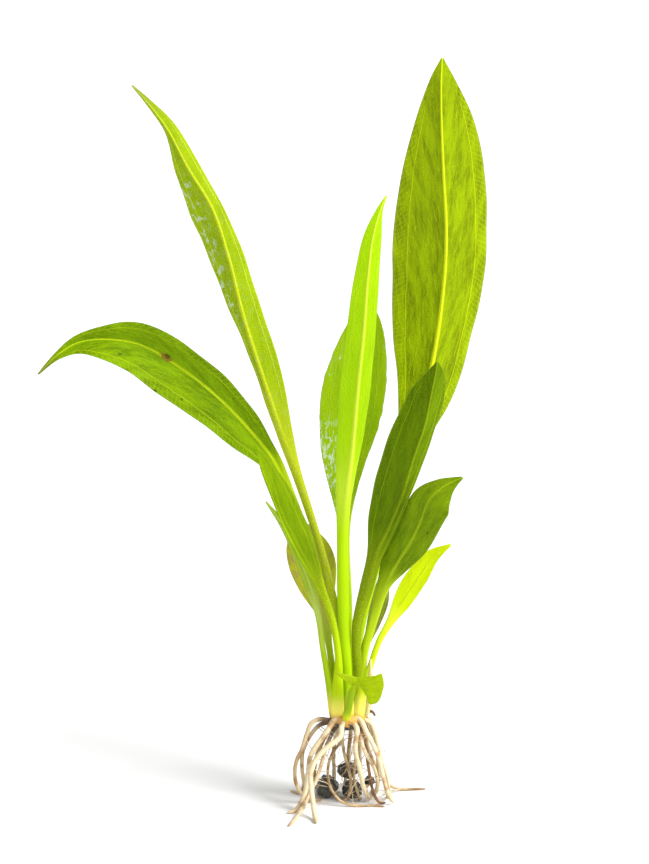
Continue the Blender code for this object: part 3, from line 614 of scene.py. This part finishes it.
def leaf_finish(name, **changes):
    look = SimpleNamespace(**{**LEAF, **changes})
    paint = Paint(name)
    across, run, half = paint.noted("leaf")
    blade, share, back = paint.noted("growth")
    side = across * half
    out = abs(side)
    behind = back * BACK_SHIFT
    where = paint.join(side, run, behind)
    slant = run - out * SLANT
    stretched = paint.join(side * 1.5, slant * 0.28, behind)
    broad = paint.noise(paint.join(side, slant * 0.3, behind), 0.22)
    mottle = paint.noise(stretched, 0.8, 4.0, 0.6)
    warp = paint.noise(where, 0.16, 2.0) - 0.5

    # Veins, as lines a fraction of a millimetre wide.
    narrowing = 1.0 - share * LINE_TAPER
    midrib = paint.fall(out / narrowing, look.rib * 0.55, look.rib * 1.15)
    from_long = abs(abs(across) - look.long_vein - warp * 0.03) * half
    long_vein = paint.fall(from_long, 0.05, 0.24) * blade * paint.fall(share, 0.88, 0.98)
    phase = paint.maths("PINGPONG", (slant + warp * 16.0) / SIDE_VEIN_GAP, 0.5)
    side_veins = paint.fall(phase, 0.01, 0.09) * blade * paint.rise(out, 0.6, 1.4)
    side_veins = side_veins * paint.rise(mottle, 0.35, 0.6)
    cross = paint.maths("PINGPONG", (run + out * 0.7 + warp * 3.0) / CROSS_VEIN_GAP, 0.5)
    outer = paint.rise(abs(across), look.long_vein - 0.1, look.long_vein + 0.1)
    cross_veins = paint.fall(cross, 0.02, 0.12) * outer * blade
    cells = paint.add(
        "TexVoronoi",
        {"feature": "DISTANCE_TO_EDGE"},
        {"Vector": paint.join(side, run * 0.62, behind), "Scale": 1.5},
    )
    net = paint.fall(cells, 0.0, 0.14) * blade

    # Colour, from the broad to the fine.
    skin = paint.mix(paint.rise(broad, 0.3, 0.7), look.dark, look.light)
    skin = paint.mix(paint.rise(mottle, 0.42, 0.66) * 0.55, skin, look.light)
    skin = paint.mix(paint.fall(mottle, 0.34, 0.5) * 0.3, skin, look.dark)
    if look.blotch:
        stain = paint.noise(where, 0.22, 4.0, 0.62)
        skin = paint.mix(paint.rise(stain, 0.48, 0.62) * look.blotch_share, skin, look.blotch)
    lines = paint.most(side_veins, cross_veins) * look.side_share
    lines = paint.most(lines, net * 0.1)
    lines = paint.most(lines, long_vein * look.long_share)
    skin = paint.mix(lines, skin, look.vein)
    margin = paint.rise(abs(across), 0.93, 1.0) * blade * look.edge_share
    skin = paint.mix(margin, skin, look.edge)
    speckled = paint.noise(where, 1.6)
    stalk = paint.mix(paint.rise(speckled, 0.4, 0.75) * 0.5, look.stalk, look.vein)
    low_stem = paint.fall(run, look.stem_end - 25.0, look.stem_end)
    stalk = paint.mix(low_stem, stalk, look.stem)
    rib_mask = paint.most(midrib * look.rib_share, 1.0 - blade)
    skin = paint.mix(rib_mask, skin, stalk)
    for spot_run, spot_side, size, tint in look.spots:
        along_leaf, aside = run - spot_run, side - spot_side
        far = paint.maths("SQRT", along_leaf * along_leaf * 0.3 + aside * aside)
        ragged = far + (paint.noise(where, 0.9) - 0.5) * size * 1.2
        skin = paint.mix(paint.fall(ragged, size * 0.5, size), skin, tint)
    skin = paint.mix(paint.rise(share, 0.93, 1.0) * look.tip_share, skin, look.tip)
    low = run + (mottle - 0.5) * 3.0
    skin = paint.mix(paint.fall(low, look.foot_end * 0.35, look.foot_end), skin, look.foot)
    skin = paint.mix(paint.fall(low, look.rust_end * 0.4, look.rust_end), skin, look.rust)
    # Painted reflection: in each glare, pale glints are mixed into the colour, and the same
    # patches get a glossy coat.
    gloss = 0.0
    for start, stop, hand, amount in look.glare:
        glint_noise = paint.noise(paint.join(side * 1.3, run * 0.5, behind), 0.6, 5.0, 0.62)
        patch = paint.rise(glint_noise, 0.62 - amount * 0.14, 0.68 - amount * 0.14)
        patch = patch * paint.rise(across * hand, 0.2, 0.6)
        patch = patch * paint.rise(run, start, start + 8.0) * paint.fall(run, stop - 8.0, stop)
        patch = patch * paint.fall(back, 0.2, 0.8)
        skin = paint.mix(patch * 0.75, skin, WET_SHEEN)
        gloss = patch + gloss

    # Gloss and relief.
    pool = paint.rise(paint.noise(where, 0.28), 0.5, 0.62) * look.wet
    pool = paint.maths("MINIMUM", pool + gloss, 1.0)
    roughness = 0.4 + (mottle - 0.5) * 0.2 - pool * 0.3
    height = (mottle - 0.5) * 0.35 - net * 0.25 + long_vein * 0.5
    height = height + side_veins * 0.45 + midrib * 0.3
    normal = paint.bump(height, 0.00022, 0.7)
    surface = paint.surface({
        "Base Color": skin,
        "Roughness": roughness,
        "Specular IOR Level": 0.07,
        "Coat Weight": pool,
        "Coat Roughness": 0.08,
        "Normal": normal,
    })
    glow = paint.add("BsdfTranslucent", sockets={"Color": colour(look.glow), "Normal": normal})
    thin = (1.0 - rib_mask * 0.75) * (1.0 - lines * 0.5) * look.through
    return paint.finish(paint.add("MixShader", sockets={0: thin, 1: surface, 2: glow}))


# %% [markdown]
# ## Growing a leaf
#
# A leaf is one closed skin that begins as a round stalk and opens into a thin
# blade. Round a ring, the vertices go from the left margin over the front to
# the right margin and back behind. They crowd at the midrib, where the rib
# stands up, and the two halves fold back from it instead of lying flat. The
# margins ripple a little, as wet leaves do.

# %% Leaf builder
LEAF_AROUND = 64
LEAF_STEP = 1.0  # between two rings, in millimetres
BOW = 1.0  # 1 folds the blade into two flat halves, and less than 1 lets them bulge
LEAST_ACROSS = 0.04  # keeps the slope finite right at the midrib
STALK_WIDTH = 4.0  # a wider row begins to open into a blade
OPENING_WIDTH = 5.0
MARGIN_HALF = 0.3
RIB_HEIGHT = 0.55
RIB_WIDTH = 0.8
BLADE_HALF = 0.15
RIB_TAPER = 0.75  # the share of its width that the rib's ridge loses by the tip
OPEN_FROM, OPEN_BY = 0.5, 0.6  # past this share of its length, every leaf is a blade
FOOT_DROP = 4.4  # how far a leaf's foot reaches down over the crown
FOOT_IN, FOOT_NARROW = 0.82, 0.85  # the foot's shares of the first row's reach and width
CLASP = 0.42  # a stalk's foot is this much wider, to clasp its neighbours
CLASP_RUN = 10.0


def foot_row(first):
    """The row below a leaf's first one, drawn in towards the crown."""
    x, y, z, *widths = first
    return (x * FOOT_IN, y * FOOT_IN, z - FOOT_DROP, *[w * FOOT_NARROW for w in widths])


def leaf(name, slot, seed, ripple=0.3, ragged=0.0, bow=BOW, step=LEAF_STEP, **look):
    """One leaf from its rows. Whatever else is given changes its look."""
    rows = [foot_row(LEAVES[name][0])] + LEAVES[name]
    length = lengths_along(np.array(rows)[:, :3])[-1]
    rings = int(length / step)
    at = along(rows, rings)
    spine = at[:, :3]
    run = lengths_along(spine)
    forward = unit(np.gradient(spine, axis=0))
    mesh, angle, ring = closed_skin(LEAF_AROUND, rings)
    share = run[ring] / run[-1]
    clasp = 1 + CLASP * np.exp(-((run[ring] / CLASP_RUN) ** 2))
    wl, dl, wr, dr = at[ring, 3:].T
    wl, wr = [np.maximum(w, MARGIN_HALF) * clasp for w in (wl, wr)]
    wide = np.clip((wl + wr - STALK_WIDTH) / OPENING_WIDTH, 0, 1)
    opened = np.clip((share - OPEN_FROM) / (OPEN_BY - OPEN_FROM), 0, 1)
    wide = np.maximum(wide, opened)

    # How far across: round on the stalk, and on the blade crowded at midrib and margins.
    even = 1 - 2 * np.abs(angle) / math.pi
    crowded = np.sign(even) * (1 - np.cos(math.pi * np.abs(even))) / 2
    u = wide * crowded + (1 - wide) * np.cos(angle)
    front = np.where(angle < 0, 1.0, -1.0)
    left = u < 0
    width = np.where(left, wl, wr)
    depth = np.where(left, dl, dr)
    if ragged:
        places = zip(run[ring], np.sign(u))
        nibble = np.array([noise.noise((r * 0.35, seed, s)) for r, s in places])
        width = width * (1 + ragged * nibble * np.abs(u) ** 3 * wide)

    across = unit(np.cross(BACKWARD, forward[ring]))
    bow = bow * wide + (1 - wide)
    least = np.maximum(np.abs(u), LEAST_ACROSS)
    off = across * (u * width)[:, None] + BACKWARD * (depth * np.abs(u) ** bow)[:, None]
    fold = np.sign(u) * depth * bow * least ** (bow - 1)
    slope = across * width[:, None] + BACKWARD * fold[:, None]
    normal = unit(np.cross(forward[ring], slope))
    normal *= np.where(normal[:, 1:2] > 0, -1.0, 1.0)

    base, high = STALKS.get(name, STALK_HALF)
    stalk = (base + (high - base) * np.minimum(1, share * 4)) * clasp
    stalk = stalk * np.sqrt(np.clip(0.1 + run[ring] / 4.0, 0, 1))
    taper = np.minimum(1, 0.3 + (1 - share) * 4)
    round_half = stalk * np.sqrt(np.clip(1 - u**2, 0, 1))
    narrowing = 1 - RIB_TAPER * share
    from_rib = u * width / (RIB_WIDTH * narrowing)
    rib = (RIB_HEIGHT - BLADE_HALF) * narrowing * np.exp(-(from_rib**2))
    flat_half = (BLADE_HALF + rib) * np.sqrt(np.clip(1 - np.abs(u) ** 10, 0, 1))
    half = (round_half * (1 - wide) + flat_half * wide) * taper
    waves = np.sin(run[ring] / 6.5 + seed + np.where(left, 0.0, 2.1))
    waves = waves + 0.6 * np.sin(run[ring] / 2.9 + 2 * seed)
    lift = ripple * waves * np.abs(u) ** 2.5 * wide * np.minimum(1, (1 - share) * 5)
    points = spine[ring] + off + normal * (front * half + lift)[:, None]
    note(mesh, "leaf", u, run[ring], width)
    note(mesh, "growth", wide, share, (1 - front) / 2)
    place(mesh, points, name, leaf_finish(name + "_skin", **look), slot, name)


# %% [markdown]
# ## The thirteen leaves
#
# The leaves differ in age. The old ones on the outside are deep green or have
# turned yellow and brown, the young ones in the middle are lemon green, and
# each has its own wear: a torn margin, a brown spot, a wet patch. A wet patch
# is glossy and also carries painted glints of reflected light. Each leaf
# therefore gets its own changes to the one look above.

# %% Young and bright leaves
leaf(
    "leaf_centre", "leaf_bright", seed=1, ripple=0.25,
    dark=(0.5, 0.76, 0.001), light=(0.6, 0.86, 0.004), glow=(0.6, 0.84, 0.001), through=0.6,
    vein=(0.84, 0.92, 0.12), rib=1.5, rib_share=0.85, long_share=0.15, side_share=0.1,
    stalk=(0.62, 0.78, 0.05), stem=(0.44, 0.68, 0.002), stem_end=95.0,
)
leaf(
    "leaf_tall_left", "leaf_bright", seed=2,
    dark=(0.3, 0.42, 0.001), light=(0.42, 0.56, 0.002), glow=(0.5, 0.7, 0.003),
    vein=(0.75, 0.82, 0.1), rib=1.4, rib_share=0.95,
    stalk=(0.46, 0.54, 0.006), stem=(0.48, 0.62, 0.006), stem_end=40.0,
    edge=(0.7, 0.85, 0.005), edge_share=0.7, tip=(0.3, 0.34, 0.05), tip_share=0.7,
    wet=0.5, glare=((150.0, 212.0, -1.0, 0.55),),
)
leaf(
    "leaf_front_left", "leaf_bright", seed=3,
    dark=(0.25, 0.41, 0.001), light=(0.4, 0.6, 0.002), glow=(0.36, 0.6, 0.002),
    vein=(0.6, 0.75, 0.02), long_share=0.6,
    stalk=(0.28, 0.4, 0.002), stem=(0.44, 0.62, 0.002),
)
leaf(
    "leaf_front_right", "leaf_bright", seed=4,
    dark=(0.12, 0.19, 0.001), light=(0.2, 0.33, 0.001), glow=(0.24, 0.42, 0.002),
    vein=(0.4, 0.56, 0.01), rib=1.0,
    stalk=(0.2, 0.28, 0.002), stem=(0.58, 0.7, 0.003), stem_end=24.0,
    edge=(0.5, 0.66, 0.06), edge_share=0.4,
)
leaf(
    "leaf_low_right", "leaf_bright", seed=5, ripple=0.4,
    dark=(0.15, 0.25, 0.001), light=(0.27, 0.42, 0.002), glow=(0.26, 0.46, 0.002), through=0.3,
    vein=(0.45, 0.6, 0.02), rib=1.1, rib_share=0.75, long_share=0.3,
    stalk=(0.42, 0.58, 0.01), stem=(0.4, 0.56, 0.004),
    spots=((81.0, 3.7, 0.5, (0.11, 0.15, 0.01)),),
)

# %% Deep green leaves
leaf(
    "leaf_tall_right", "leaf_deep", seed=6, ripple=0.4, bow=0.85,
    dark=(0.17, 0.22, 0.001), light=(0.37, 0.51, 0.001), glow=(0.46, 0.7, 0.001), through=0.28,
    vein=(0.6, 0.72, 0.006), rib=1.5, rib_share=0.95, long_vein=0.72, long_share=0.7,
    side_share=0.45,
    stalk=(0.62, 0.7, 0.01), stem=(0.34, 0.5, 0.002), stem_end=112.0,
)
leaf(
    "leaf_behind_centre", "leaf_deep", seed=7, ripple=0.25, ragged=0.03,
    dark=(0.28, 0.45, 0.001), light=(0.38, 0.55, 0.002), glow=(0.34, 0.56, 0.002),
    vein=(0.5, 0.66, 0.05), long_share=0.25,
    wet=1.0, glare=((68.0, 112.0, -1.0, 0.8), (120.0, 148.0, -1.0, 0.1)),
)
leaf(
    "leaf_arching_left", "leaf_deep", seed=8, ripple=0.5,
    dark=(0.14, 0.22, 0.001), light=(0.32, 0.5, 0.002), glow=(0.38, 0.64, 0.001),
    vein=(0.56, 0.7, 0.01), rib=1.3, rib_share=0.9, long_share=0.6, side_share=0.45,
    stalk=(0.56, 0.72, 0.01),
    tip=(0.22, 0.2, 0.03), tip_share=0.8,
    spots=(
        (151.0, 0.4, 1.7, (0.3, 0.17, 0.02)),
        (151.0, 1.0, 0.8, (0.1, 0.05, 0.01)),
        (168.0, -4.6, 0.5, (0.08, 0.1, 0.01)),
        (148.0, -11.0, 0.6, (0.08, 0.1, 0.01)),
        (138.0, -8.4, 0.4, (0.08, 0.1, 0.01)),
    ),
)

# %% Small, old and yellow leaves
leaf(
    "leaf_yellow_right", "leaf_young", seed=9,
    dark=(0.5, 0.61, 0.001), light=(0.6, 0.72, 0.002), glow=(0.7, 0.8, 0.001),
    vein=(0.45, 0.55, 0.02), rib=0.3, rib_share=0.5, long_share=0.1, side_share=0.1,
    stalk=(0.66, 0.8, 0.04), stem=(0.56, 0.72, 0.006),
)
leaf(
    "leaf_small_left", "leaf_young", seed=10, ripple=0.2,
    dark=(0.4, 0.55, 0.02), light=(0.5, 0.66, 0.04), glow=(0.5, 0.7, 0.01),
    vein=(0.62, 0.7, 0.2),
    stalk=(0.5, 0.62, 0.12), stem=(0.4, 0.56, 0.01),
)
leaf(
    "leaf_curled_front", "leaf_young", seed=11, ripple=0.1, step=0.2,
    dark=(0.42, 0.56, 0.001), light=(0.56, 0.7, 0.002), glow=(0.5, 0.7, 0.003),
    vein=(0.7, 0.78, 0.1), rib=0.5, rib_share=0.4, long_share=0.1, side_share=0.08,
    stalk=(0.3, 0.46, 0.01), stem=(0.3, 0.46, 0.01), foot=(0.62, 0.7, 0.02), foot_end=8.0,
    rust_end=4.0,
)
leaf(
    "leaf_olive_right", "leaf_old", seed=12, ripple=0.2,
    dark=(0.22, 0.28, 0.02), light=(0.32, 0.4, 0.02), glow=(0.3, 0.4, 0.01),
    vein=(0.45, 0.5, 0.08),
    stalk=(0.36, 0.44, 0.05),
    blotch=(0.3, 0.2, 0.06), blotch_share=0.7,
)
leaf(
    "leaf_old_yellow", "leaf_old", seed=13, ripple=0.4,
    dark=(0.46, 0.52, 0.004), light=(0.62, 0.64, 0.02), glow=(0.5, 0.5, 0.04),
    vein=(0.6, 0.56, 0.2),
    stalk=(0.5, 0.5, 0.1), stem=(0.36, 0.5, 0.006),
    blotch=(0.42, 0.3, 0.1), blotch_share=0.55,
)


# %% [markdown]
# ## Roots
#
# The main roots are cream coloured and about as thick as string, with tan and
# brown stretches where they are older. Their ends have turned tan, and a few
# start in dark bark. They aren't smooth: they swell and shrink a little. Each
# is the same closed skin as a leaf's, but with a circle round each ring, and it
# tapers to a point over its last stretch.

# %% Root finish
BARK = (0.09, 0.05, 0.025)


def root_finish(name, pale, tan, age, bark_end=0.0):
    """The older the tanner. Dark bark covers the first bark_end millimetres."""
    paint = Paint(name)
    run, share = paint.noted("growth")[:2]
    where = paint.millimetres()
    patch = paint.noise(where, 0.16, 4.0, 0.6)
    grain = paint.noise(where, 2.2, 4.0, 0.7)
    skin = paint.mix(paint.rise(patch, 0.72 - age * 0.5, 0.86 - age * 0.4), pale, tan)
    skin = paint.mix(paint.rise(share + (patch - 0.5) * 0.3, 0.8, 1.0) * age, skin, tan)
    skin = paint.mix(paint.rise(grain, 0.5, 0.75) * 0.4, skin, tuple(c * 0.55 for c in tan))
    if bark_end:
        barked = paint.fall(run + (grain - 0.5) * 6.0, bark_end * 0.6, bark_end)
        skin = paint.mix(barked * 0.9, skin, BARK)
    height = grain * 0.6 + paint.noise(where, 0.9, 2.0) * 0.6
    return paint.finish(paint.surface({
        "Base Color": skin,
        "Roughness": 0.48 + grain * 0.2,
        "Subsurface Weight": 0.12,
        "Subsurface Radius": (0.8, 0.5, 0.3),
        "Subsurface Scale": 0.001,
        "Normal": paint.bump(height, 0.00015, 0.8),
    }))


CREAM = root_finish("root_cream", (0.7, 0.59, 0.38), (0.42, 0.25, 0.1), 0.45)
BARKED = root_finish("root_barked", (0.62, 0.49, 0.29), (0.36, 0.2, 0.07), 0.5, bark_end=9.0)
OLD_ROOT = root_finish("root_tan", (0.5, 0.37, 0.19), (0.26, 0.14, 0.05), 0.6)
BROWN_ROOT = root_finish("root_rust", (0.34, 0.16, 0.05), (0.12, 0.055, 0.02), 0.6)
STUB_BROWN = root_finish("root_dark", (0.2, 0.1, 0.04), (0.07, 0.035, 0.015), 0.7)
ROOT_HAIR = root_finish("root_hair", (0.6, 0.5, 0.34), (0.34, 0.22, 0.1), 0.5)

# %% Root builder
ROOT_AROUND = 18
ROOT_STEP = 0.45
ROOT_END = 0.12  # the share of a root's length over which its end comes to a point
UNEVEN = 0.12  # how much a root swells and shrinks


def tube(points, radius, seed, around=ROOT_AROUND, step=ROOT_STEP):
    """A round skin through the points, with a radius for each end, and its places."""
    length = lengths_along(np.array(points, float))[-1]
    rings = max(6, int(length / step))
    spine = along(points, rings)
    forward = unit(np.gradient(spine, axis=0))
    side = np.empty_like(spine)
    turned = BACKWARD
    for k, t in enumerate(forward):
        turned = turned - t * (turned @ t)
        turned /= np.linalg.norm(turned)
        side[k] = turned
    up = np.cross(side, forward)
    mesh, angle, ring = closed_skin(around, rings)
    share = ring / (rings - 1)
    end_share = max(ROOT_END, 1.5 * radius[1] / length)
    end = np.clip((share - (1 - end_share)) / end_share, 0, 1)
    size = (radius[0] + (radius[1] - radius[0]) * share) * np.sqrt(np.maximum(0.02, 1 - end**2))
    run = lengths_along(spine)[ring]
    note(mesh, "growth", run, share, 0.0)
    rough = np.array([
        noise.noise((r * 0.5, seed, math.cos(a) * 0.5))
        + 0.5 * noise.noise((r * 1.5, seed + 9, math.sin(a)))
        for r, a in zip(run, angle)
    ])
    size = size * (1 + UNEVEN * rough)
    points = spine[ring] + size[:, None] * (
        np.cos(angle)[:, None] * side[ring] + np.sin(angle)[:, None] * up[ring]
    )
    points[:, 2] = np.maximum(points[:, 2], 0.0)
    return mesh, points


ROOT_INSIDE = 0.62  # a root starts at this share of its first point's reach
ROOT_LIFT = 1.5  # and this far above it, inside the crown


def root(name, finish, slot, radius, points, seed):
    x, y, z = points[0]
    inside = (x * ROOT_INSIDE, y * ROOT_INSIDE, z + ROOT_LIFT)
    mesh, places = tube([inside, *points], radius, seed)
    place(mesh, places, name, finish, slot, name)


# %% The main roots
DARK_STARTS = ("root_left_1", "root_left_2", "root_long_left")
OLDER = (
    "root_loop_left", "root_trailing", "root_across",
    "root_back_1", "root_middle", "root_left_4",
)
for number, (name, (radii, *points)) in enumerate(ROOTS.items()):
    if name == "root_orange":
        root(name, BROWN_ROOT, "root_brown", radii, points, number)
    else:
        finish = OLD_ROOT if name in OLDER else BARKED if name in DARK_STARTS else CREAM
        root(name, finish, "root", radii, points, number)
root("root_stub", STUB_BROWN, "root_brown", STUB_RADII, STUB, 40)

# %% [markdown]
# ## Fine side roots
#
# Between the main roots hangs a tangle of thin tan side roots. Each starts on a
# main root, leaves it sideways, and then falls and wanders by small random
# steps until it reaches the ground, where it creeps on. The steps are seeded,
# so the same tangle grows on every run. All of them are joined into one mesh.

# %% Growing the tangle
HAIR_COUNT = 72
HAIR_RADIUS = (0.1, 0.2)
HAIR_STEP = 1.3
HAIR_WOBBLE = 0.24
HAIR_FALL = 0.14
HAIR_ABOVE_GROUND = 0.35
MAT_MIDDLE_Y = 3.0
random.seed(11)


def wander(start, heading, steps):
    """A random walk that sinks to the ground and creeps along it."""
    at, going = Vector(start), Vector(heading).normalized()
    walk = [at.copy()]
    for _ in range(steps):
        sink = -HAIR_FALL if at.z > 1.0 else 0.0
        pull = Vector((-at.x * 0.02, (MAT_MIDDLE_Y - at.y) * 0.02, sink))
        going += pull + Vector([random.gauss(0, HAIR_WOBBLE) for _ in range(3)])
        going.normalize()
        at = at + going * HAIR_STEP
        if at.z < HAIR_ABOVE_GROUND:
            at.z = HAIR_ABOVE_GROUND
            going.z = abs(going.z) * 0.2
        walk.append(at.copy())
    return [tuple(p) for p in walk]


def join_skins(skins):
    """Several skins as one mesh, and their places in one array."""
    bm = bmesh.new()
    places = []
    for mesh, points in skins:
        mesh.vertices.foreach_set("co", points.ravel())
        bm.from_mesh(mesh)
        bpy.data.meshes.remove(mesh)
        places.append(points)
    return mesh_from(bm, "joined"), np.concatenate(places)


hairs = []
mothers = [points for name, (radii, *points) in ROOTS.items()]
for number in range(HAIR_COUNT):
    mother = along(random.choice(mothers), 40)
    first = random.randint(4, 34)
    start = mother[first]
    turn = random.uniform(0, 2 * math.pi)
    inward = Vector((-start[0], MAT_MIDDLE_Y - start[1], 0)).normalized()
    heading = inward * 0.7 + Vector((math.cos(turn), math.sin(turn), random.uniform(-0.6, 0.1)))
    walk = wander(start, heading, random.randint(5, 14))
    thick = random.uniform(*HAIR_RADIUS)
    hairs.append(tube(walk, (thick, thick * 0.55), number + 50, around=7, step=0.5))
mesh, places = join_skins(hairs)
place(mesh, places, "side_roots", ROOT_HAIR, "root")


# %% [markdown]
# ## The crown
#
# The crown is the plant's short stem. Old leaves have left a ring scar each,
# and between the scars the skin is fibrous: orange where the stalks leave it,
# rust brown below that, and nearly black underneath, with a glossy black patch
# low on the right. A closed skin is turned into it, ring by ring, with the
# scars as small steps and the fibres as fine ripples round it.

# %% Crown finish
ORANGE, RUST, FIBRE = (0.74, 0.42, 0.1), (0.3, 0.12, 0.03), (0.3, 0.14, 0.04)
BLACK, LUMP_BLACK = (0.05, 0.035, 0.025), (0.035, 0.03, 0.028)
ORANGE_HEIGHTS = (28.5, 31.5)  # where rust turns orange, in millimetres
BLACK_HEIGHTS = (27.8, 29.6)
LUMP_HEIGHTS = (30.2, 31.4)


def crown_finish():
    paint = Paint("crown_skin")
    where = paint.millimetres()
    x, y, z = paint.split(where)
    fibres = paint.noise(paint.join(x * 3.0, y * 3.0, z * 0.5), 0.9, 5.0, 0.65)
    blots = paint.noise(where, 0.3, 4.0, 0.6)
    uneven = z + (blots - 0.5) * 4.0
    skin = paint.mix(paint.rise(uneven, *ORANGE_HEIGHTS), RUST, ORANGE)
    skin = paint.mix(paint.fall(uneven, *BLACK_HEIGHTS) * 0.8, skin, BLACK)
    skin = paint.mix(paint.rise(fibres, 0.5, 0.75) * 0.5, skin, FIBRE)
    lump = paint.rise(x + (blots - 0.5) * 3.0, 0.8, 2.0)
    lump = lump * paint.fall(z + (fibres - 0.5) * 3.0, *LUMP_HEIGHTS)
    skin = paint.mix(lump * 0.95, skin, LUMP_BLACK)
    return paint.finish(paint.surface({
        "Base Color": skin,
        "Roughness": 0.45 + fibres * 0.25 - lump * 0.35,
        "Coat Weight": lump * 0.6,
        "Normal": paint.bump(fibres + blots * 0.5, 0.0005, 0.9),
    }))


# %% Crown
CROWN_LOW, CROWN_TOP, CROWN_RADIUS = crown_low.z / MM, crown_high.z / MM, 6.45
CROWN_ROWS = (  # share of the height, share of the radius
    (0.0, 0.36), (0.1, 0.6), (0.29, 0.78), (0.5, 0.86), (0.7, 0.9), (0.9, 0.88), (1.0, 0.78),
)
CROWN_AROUND, CROWN_RINGS = 96, 60
SCARS, SCAR_STEP = 4, 0.035


def crown():
    mesh, angle, ring = closed_skin(CROWN_AROUND, CROWN_RINGS)
    share = ring / (CROWN_RINGS - 1)
    width = np.interp(share, *zip(*CROWN_ROWS))
    scar = SCAR_STEP * (1 - np.mod(share * SCARS + 0.06 * np.sin(2 * angle), 1.0))
    lumps = np.array([
        noise.noise((2.2 * math.cos(a), 2.2 * math.sin(a), s * 3.0)) for a, s in zip(angle, share)
    ])
    fibres = 0.006 * np.sin(31 * angle + 3 * np.sin(9 * share))
    swell = 0.04 * np.sin(4 * angle + CROWN_LOW + share * (CROWN_TOP - CROWN_LOW))
    r = CROWN_RADIUS * width * (1 + scar - 0.02 + 0.05 * lumps + fibres + swell)
    z = CROWN_LOW + (CROWN_TOP - CROWN_LOW) * share
    points = np.stack([r * np.cos(angle), r * np.sin(angle) * 0.98, z], axis=1)
    place(mesh, points, "crown", crown_finish(), "crown", "crown")


crown()


# %% [markdown]
# ## Dry sheath
#
# One old leaf has died back to its sheath: a thin, papery strip, cream yellow
# with brown flecks, and ribbed along its length. It is a curled, wavy skin.

# %% Sheath finish and shape
def sheath_finish():
    paint = Paint("dry_paper")
    where = paint.millimetres()
    x, y, z = paint.split(where)
    ribs = paint.noise(paint.join(x * 4.0, y * 4.0, z * 0.25), 1.0, 4.0)
    skin = paint.mix(ribs, (0.86, 0.84, 0.42), (0.62, 0.52, 0.2))
    flecks = paint.rise(paint.noise(where, 0.5), 0.6, 0.72)
    skin = paint.mix(flecks * 0.6, skin, (0.36, 0.22, 0.08))
    normal = paint.bump(ribs, 0.0003, 0.7)
    paper = paint.surface({"Base Color": skin, "Roughness": 0.6, "Normal": normal})
    glow = paint.add("BsdfTranslucent", sockets={"Color": (0.85, 0.8, 0.3, 1)})
    return paint.finish(paint.add("MixShader", sockets={0: 0.3, 1: paper, 2: glow}))


SHEATH_AROUND, SHEATH_RINGS = 32, 60
SHEATH_HALF = 0.09
SHEATH_SPREAD = 0.85  # a curled strip is this much narrower than a flat one


def dry_sheath():
    at = along(SHEATH, SHEATH_RINGS)
    mesh, angle, ring = closed_skin(SHEATH_AROUND, SHEATH_RINGS)
    u = np.cos(angle)
    front = np.where(angle < 0, -1.0, 1.0)
    row = at[ring]
    curl = 0.5 * (1 - u**2) * row[:, 3]
    wave = 0.12 * np.sin(row[:, 2] * 1.3 + 2 * u)
    thick = SHEATH_HALF * np.sqrt(np.clip(1 - u**8, 0, 1))
    points = np.stack([
        row[:, 0] + row[:, 3] * SHEATH_SPREAD * u + wave,
        row[:, 1] - curl + front * thick + 0.1 * u,
        row[:, 2],
    ], axis=1)
    place(mesh, points, "sheath_dry", sheath_finish(), "papery", "sheath_dry")


dry_sheath()


# %% [markdown]
# ## Gravel
#
# The lumps that the roots hold are dark, glossy and olive black, with rounded
# corners and a few chipped faces. Each is a ball, pushed in and out by two
# sizes of noise.

# %% Gravel finish and lumps
def gravel_finish():
    paint = Paint("gravel_black")
    where = paint.millimetres()
    dirt = paint.noise(where, 0.5, 5.0, 0.65)
    grit = paint.noise(where, 3.0)
    skin = paint.mix(paint.rise(dirt, 0.4, 0.7), (0.014, 0.016, 0.011), (0.06, 0.058, 0.035))
    skin = paint.mix(paint.rise(grit, 0.6, 0.75) * 0.5, skin, (0.16, 0.14, 0.09))
    return paint.finish(paint.surface({
        "Base Color": skin,
        "Roughness": 0.2 + dirt * 0.3,
        "Coat Weight": 0.4,
        "Coat Roughness": 0.1,
        "Normal": paint.bump(dirt + grit * 0.3, 0.0005, 0.8),
    }))


FULLNESS = 1.28  # the lumps' rough skin stands a little proud of the solids
BIG_DENTS, SMALL_DENTS = 0.3, 0.07


def gravel(name, centre, half, finish):
    bm = bmesh.new()
    bmesh.ops.create_icosphere(bm, subdivisions=5, radius=1)
    for v in bm.verts:
        d = v.co.normalized()
        big = noise.noise(d * 1.7 + Vector(centre))
        small = noise.noise(d * 5.0 + Vector(centre))
        v.co = d * (1 + BIG_DENTS * big + SMALL_DENTS * small)
    mesh = mesh_from(bm, name)
    places = places_in(mesh) * np.array(half) * FULLNESS + np.array(centre)
    places[:, 2] = np.maximum(places[:, 2], 0.0)
    place(mesh, places, name, finish, "gravel", name)


GRAVEL_BLACK = gravel_finish()
for name, (centre, half) in GRAVEL.items():
    gravel(name, centre, half, GRAVEL_BLACK)
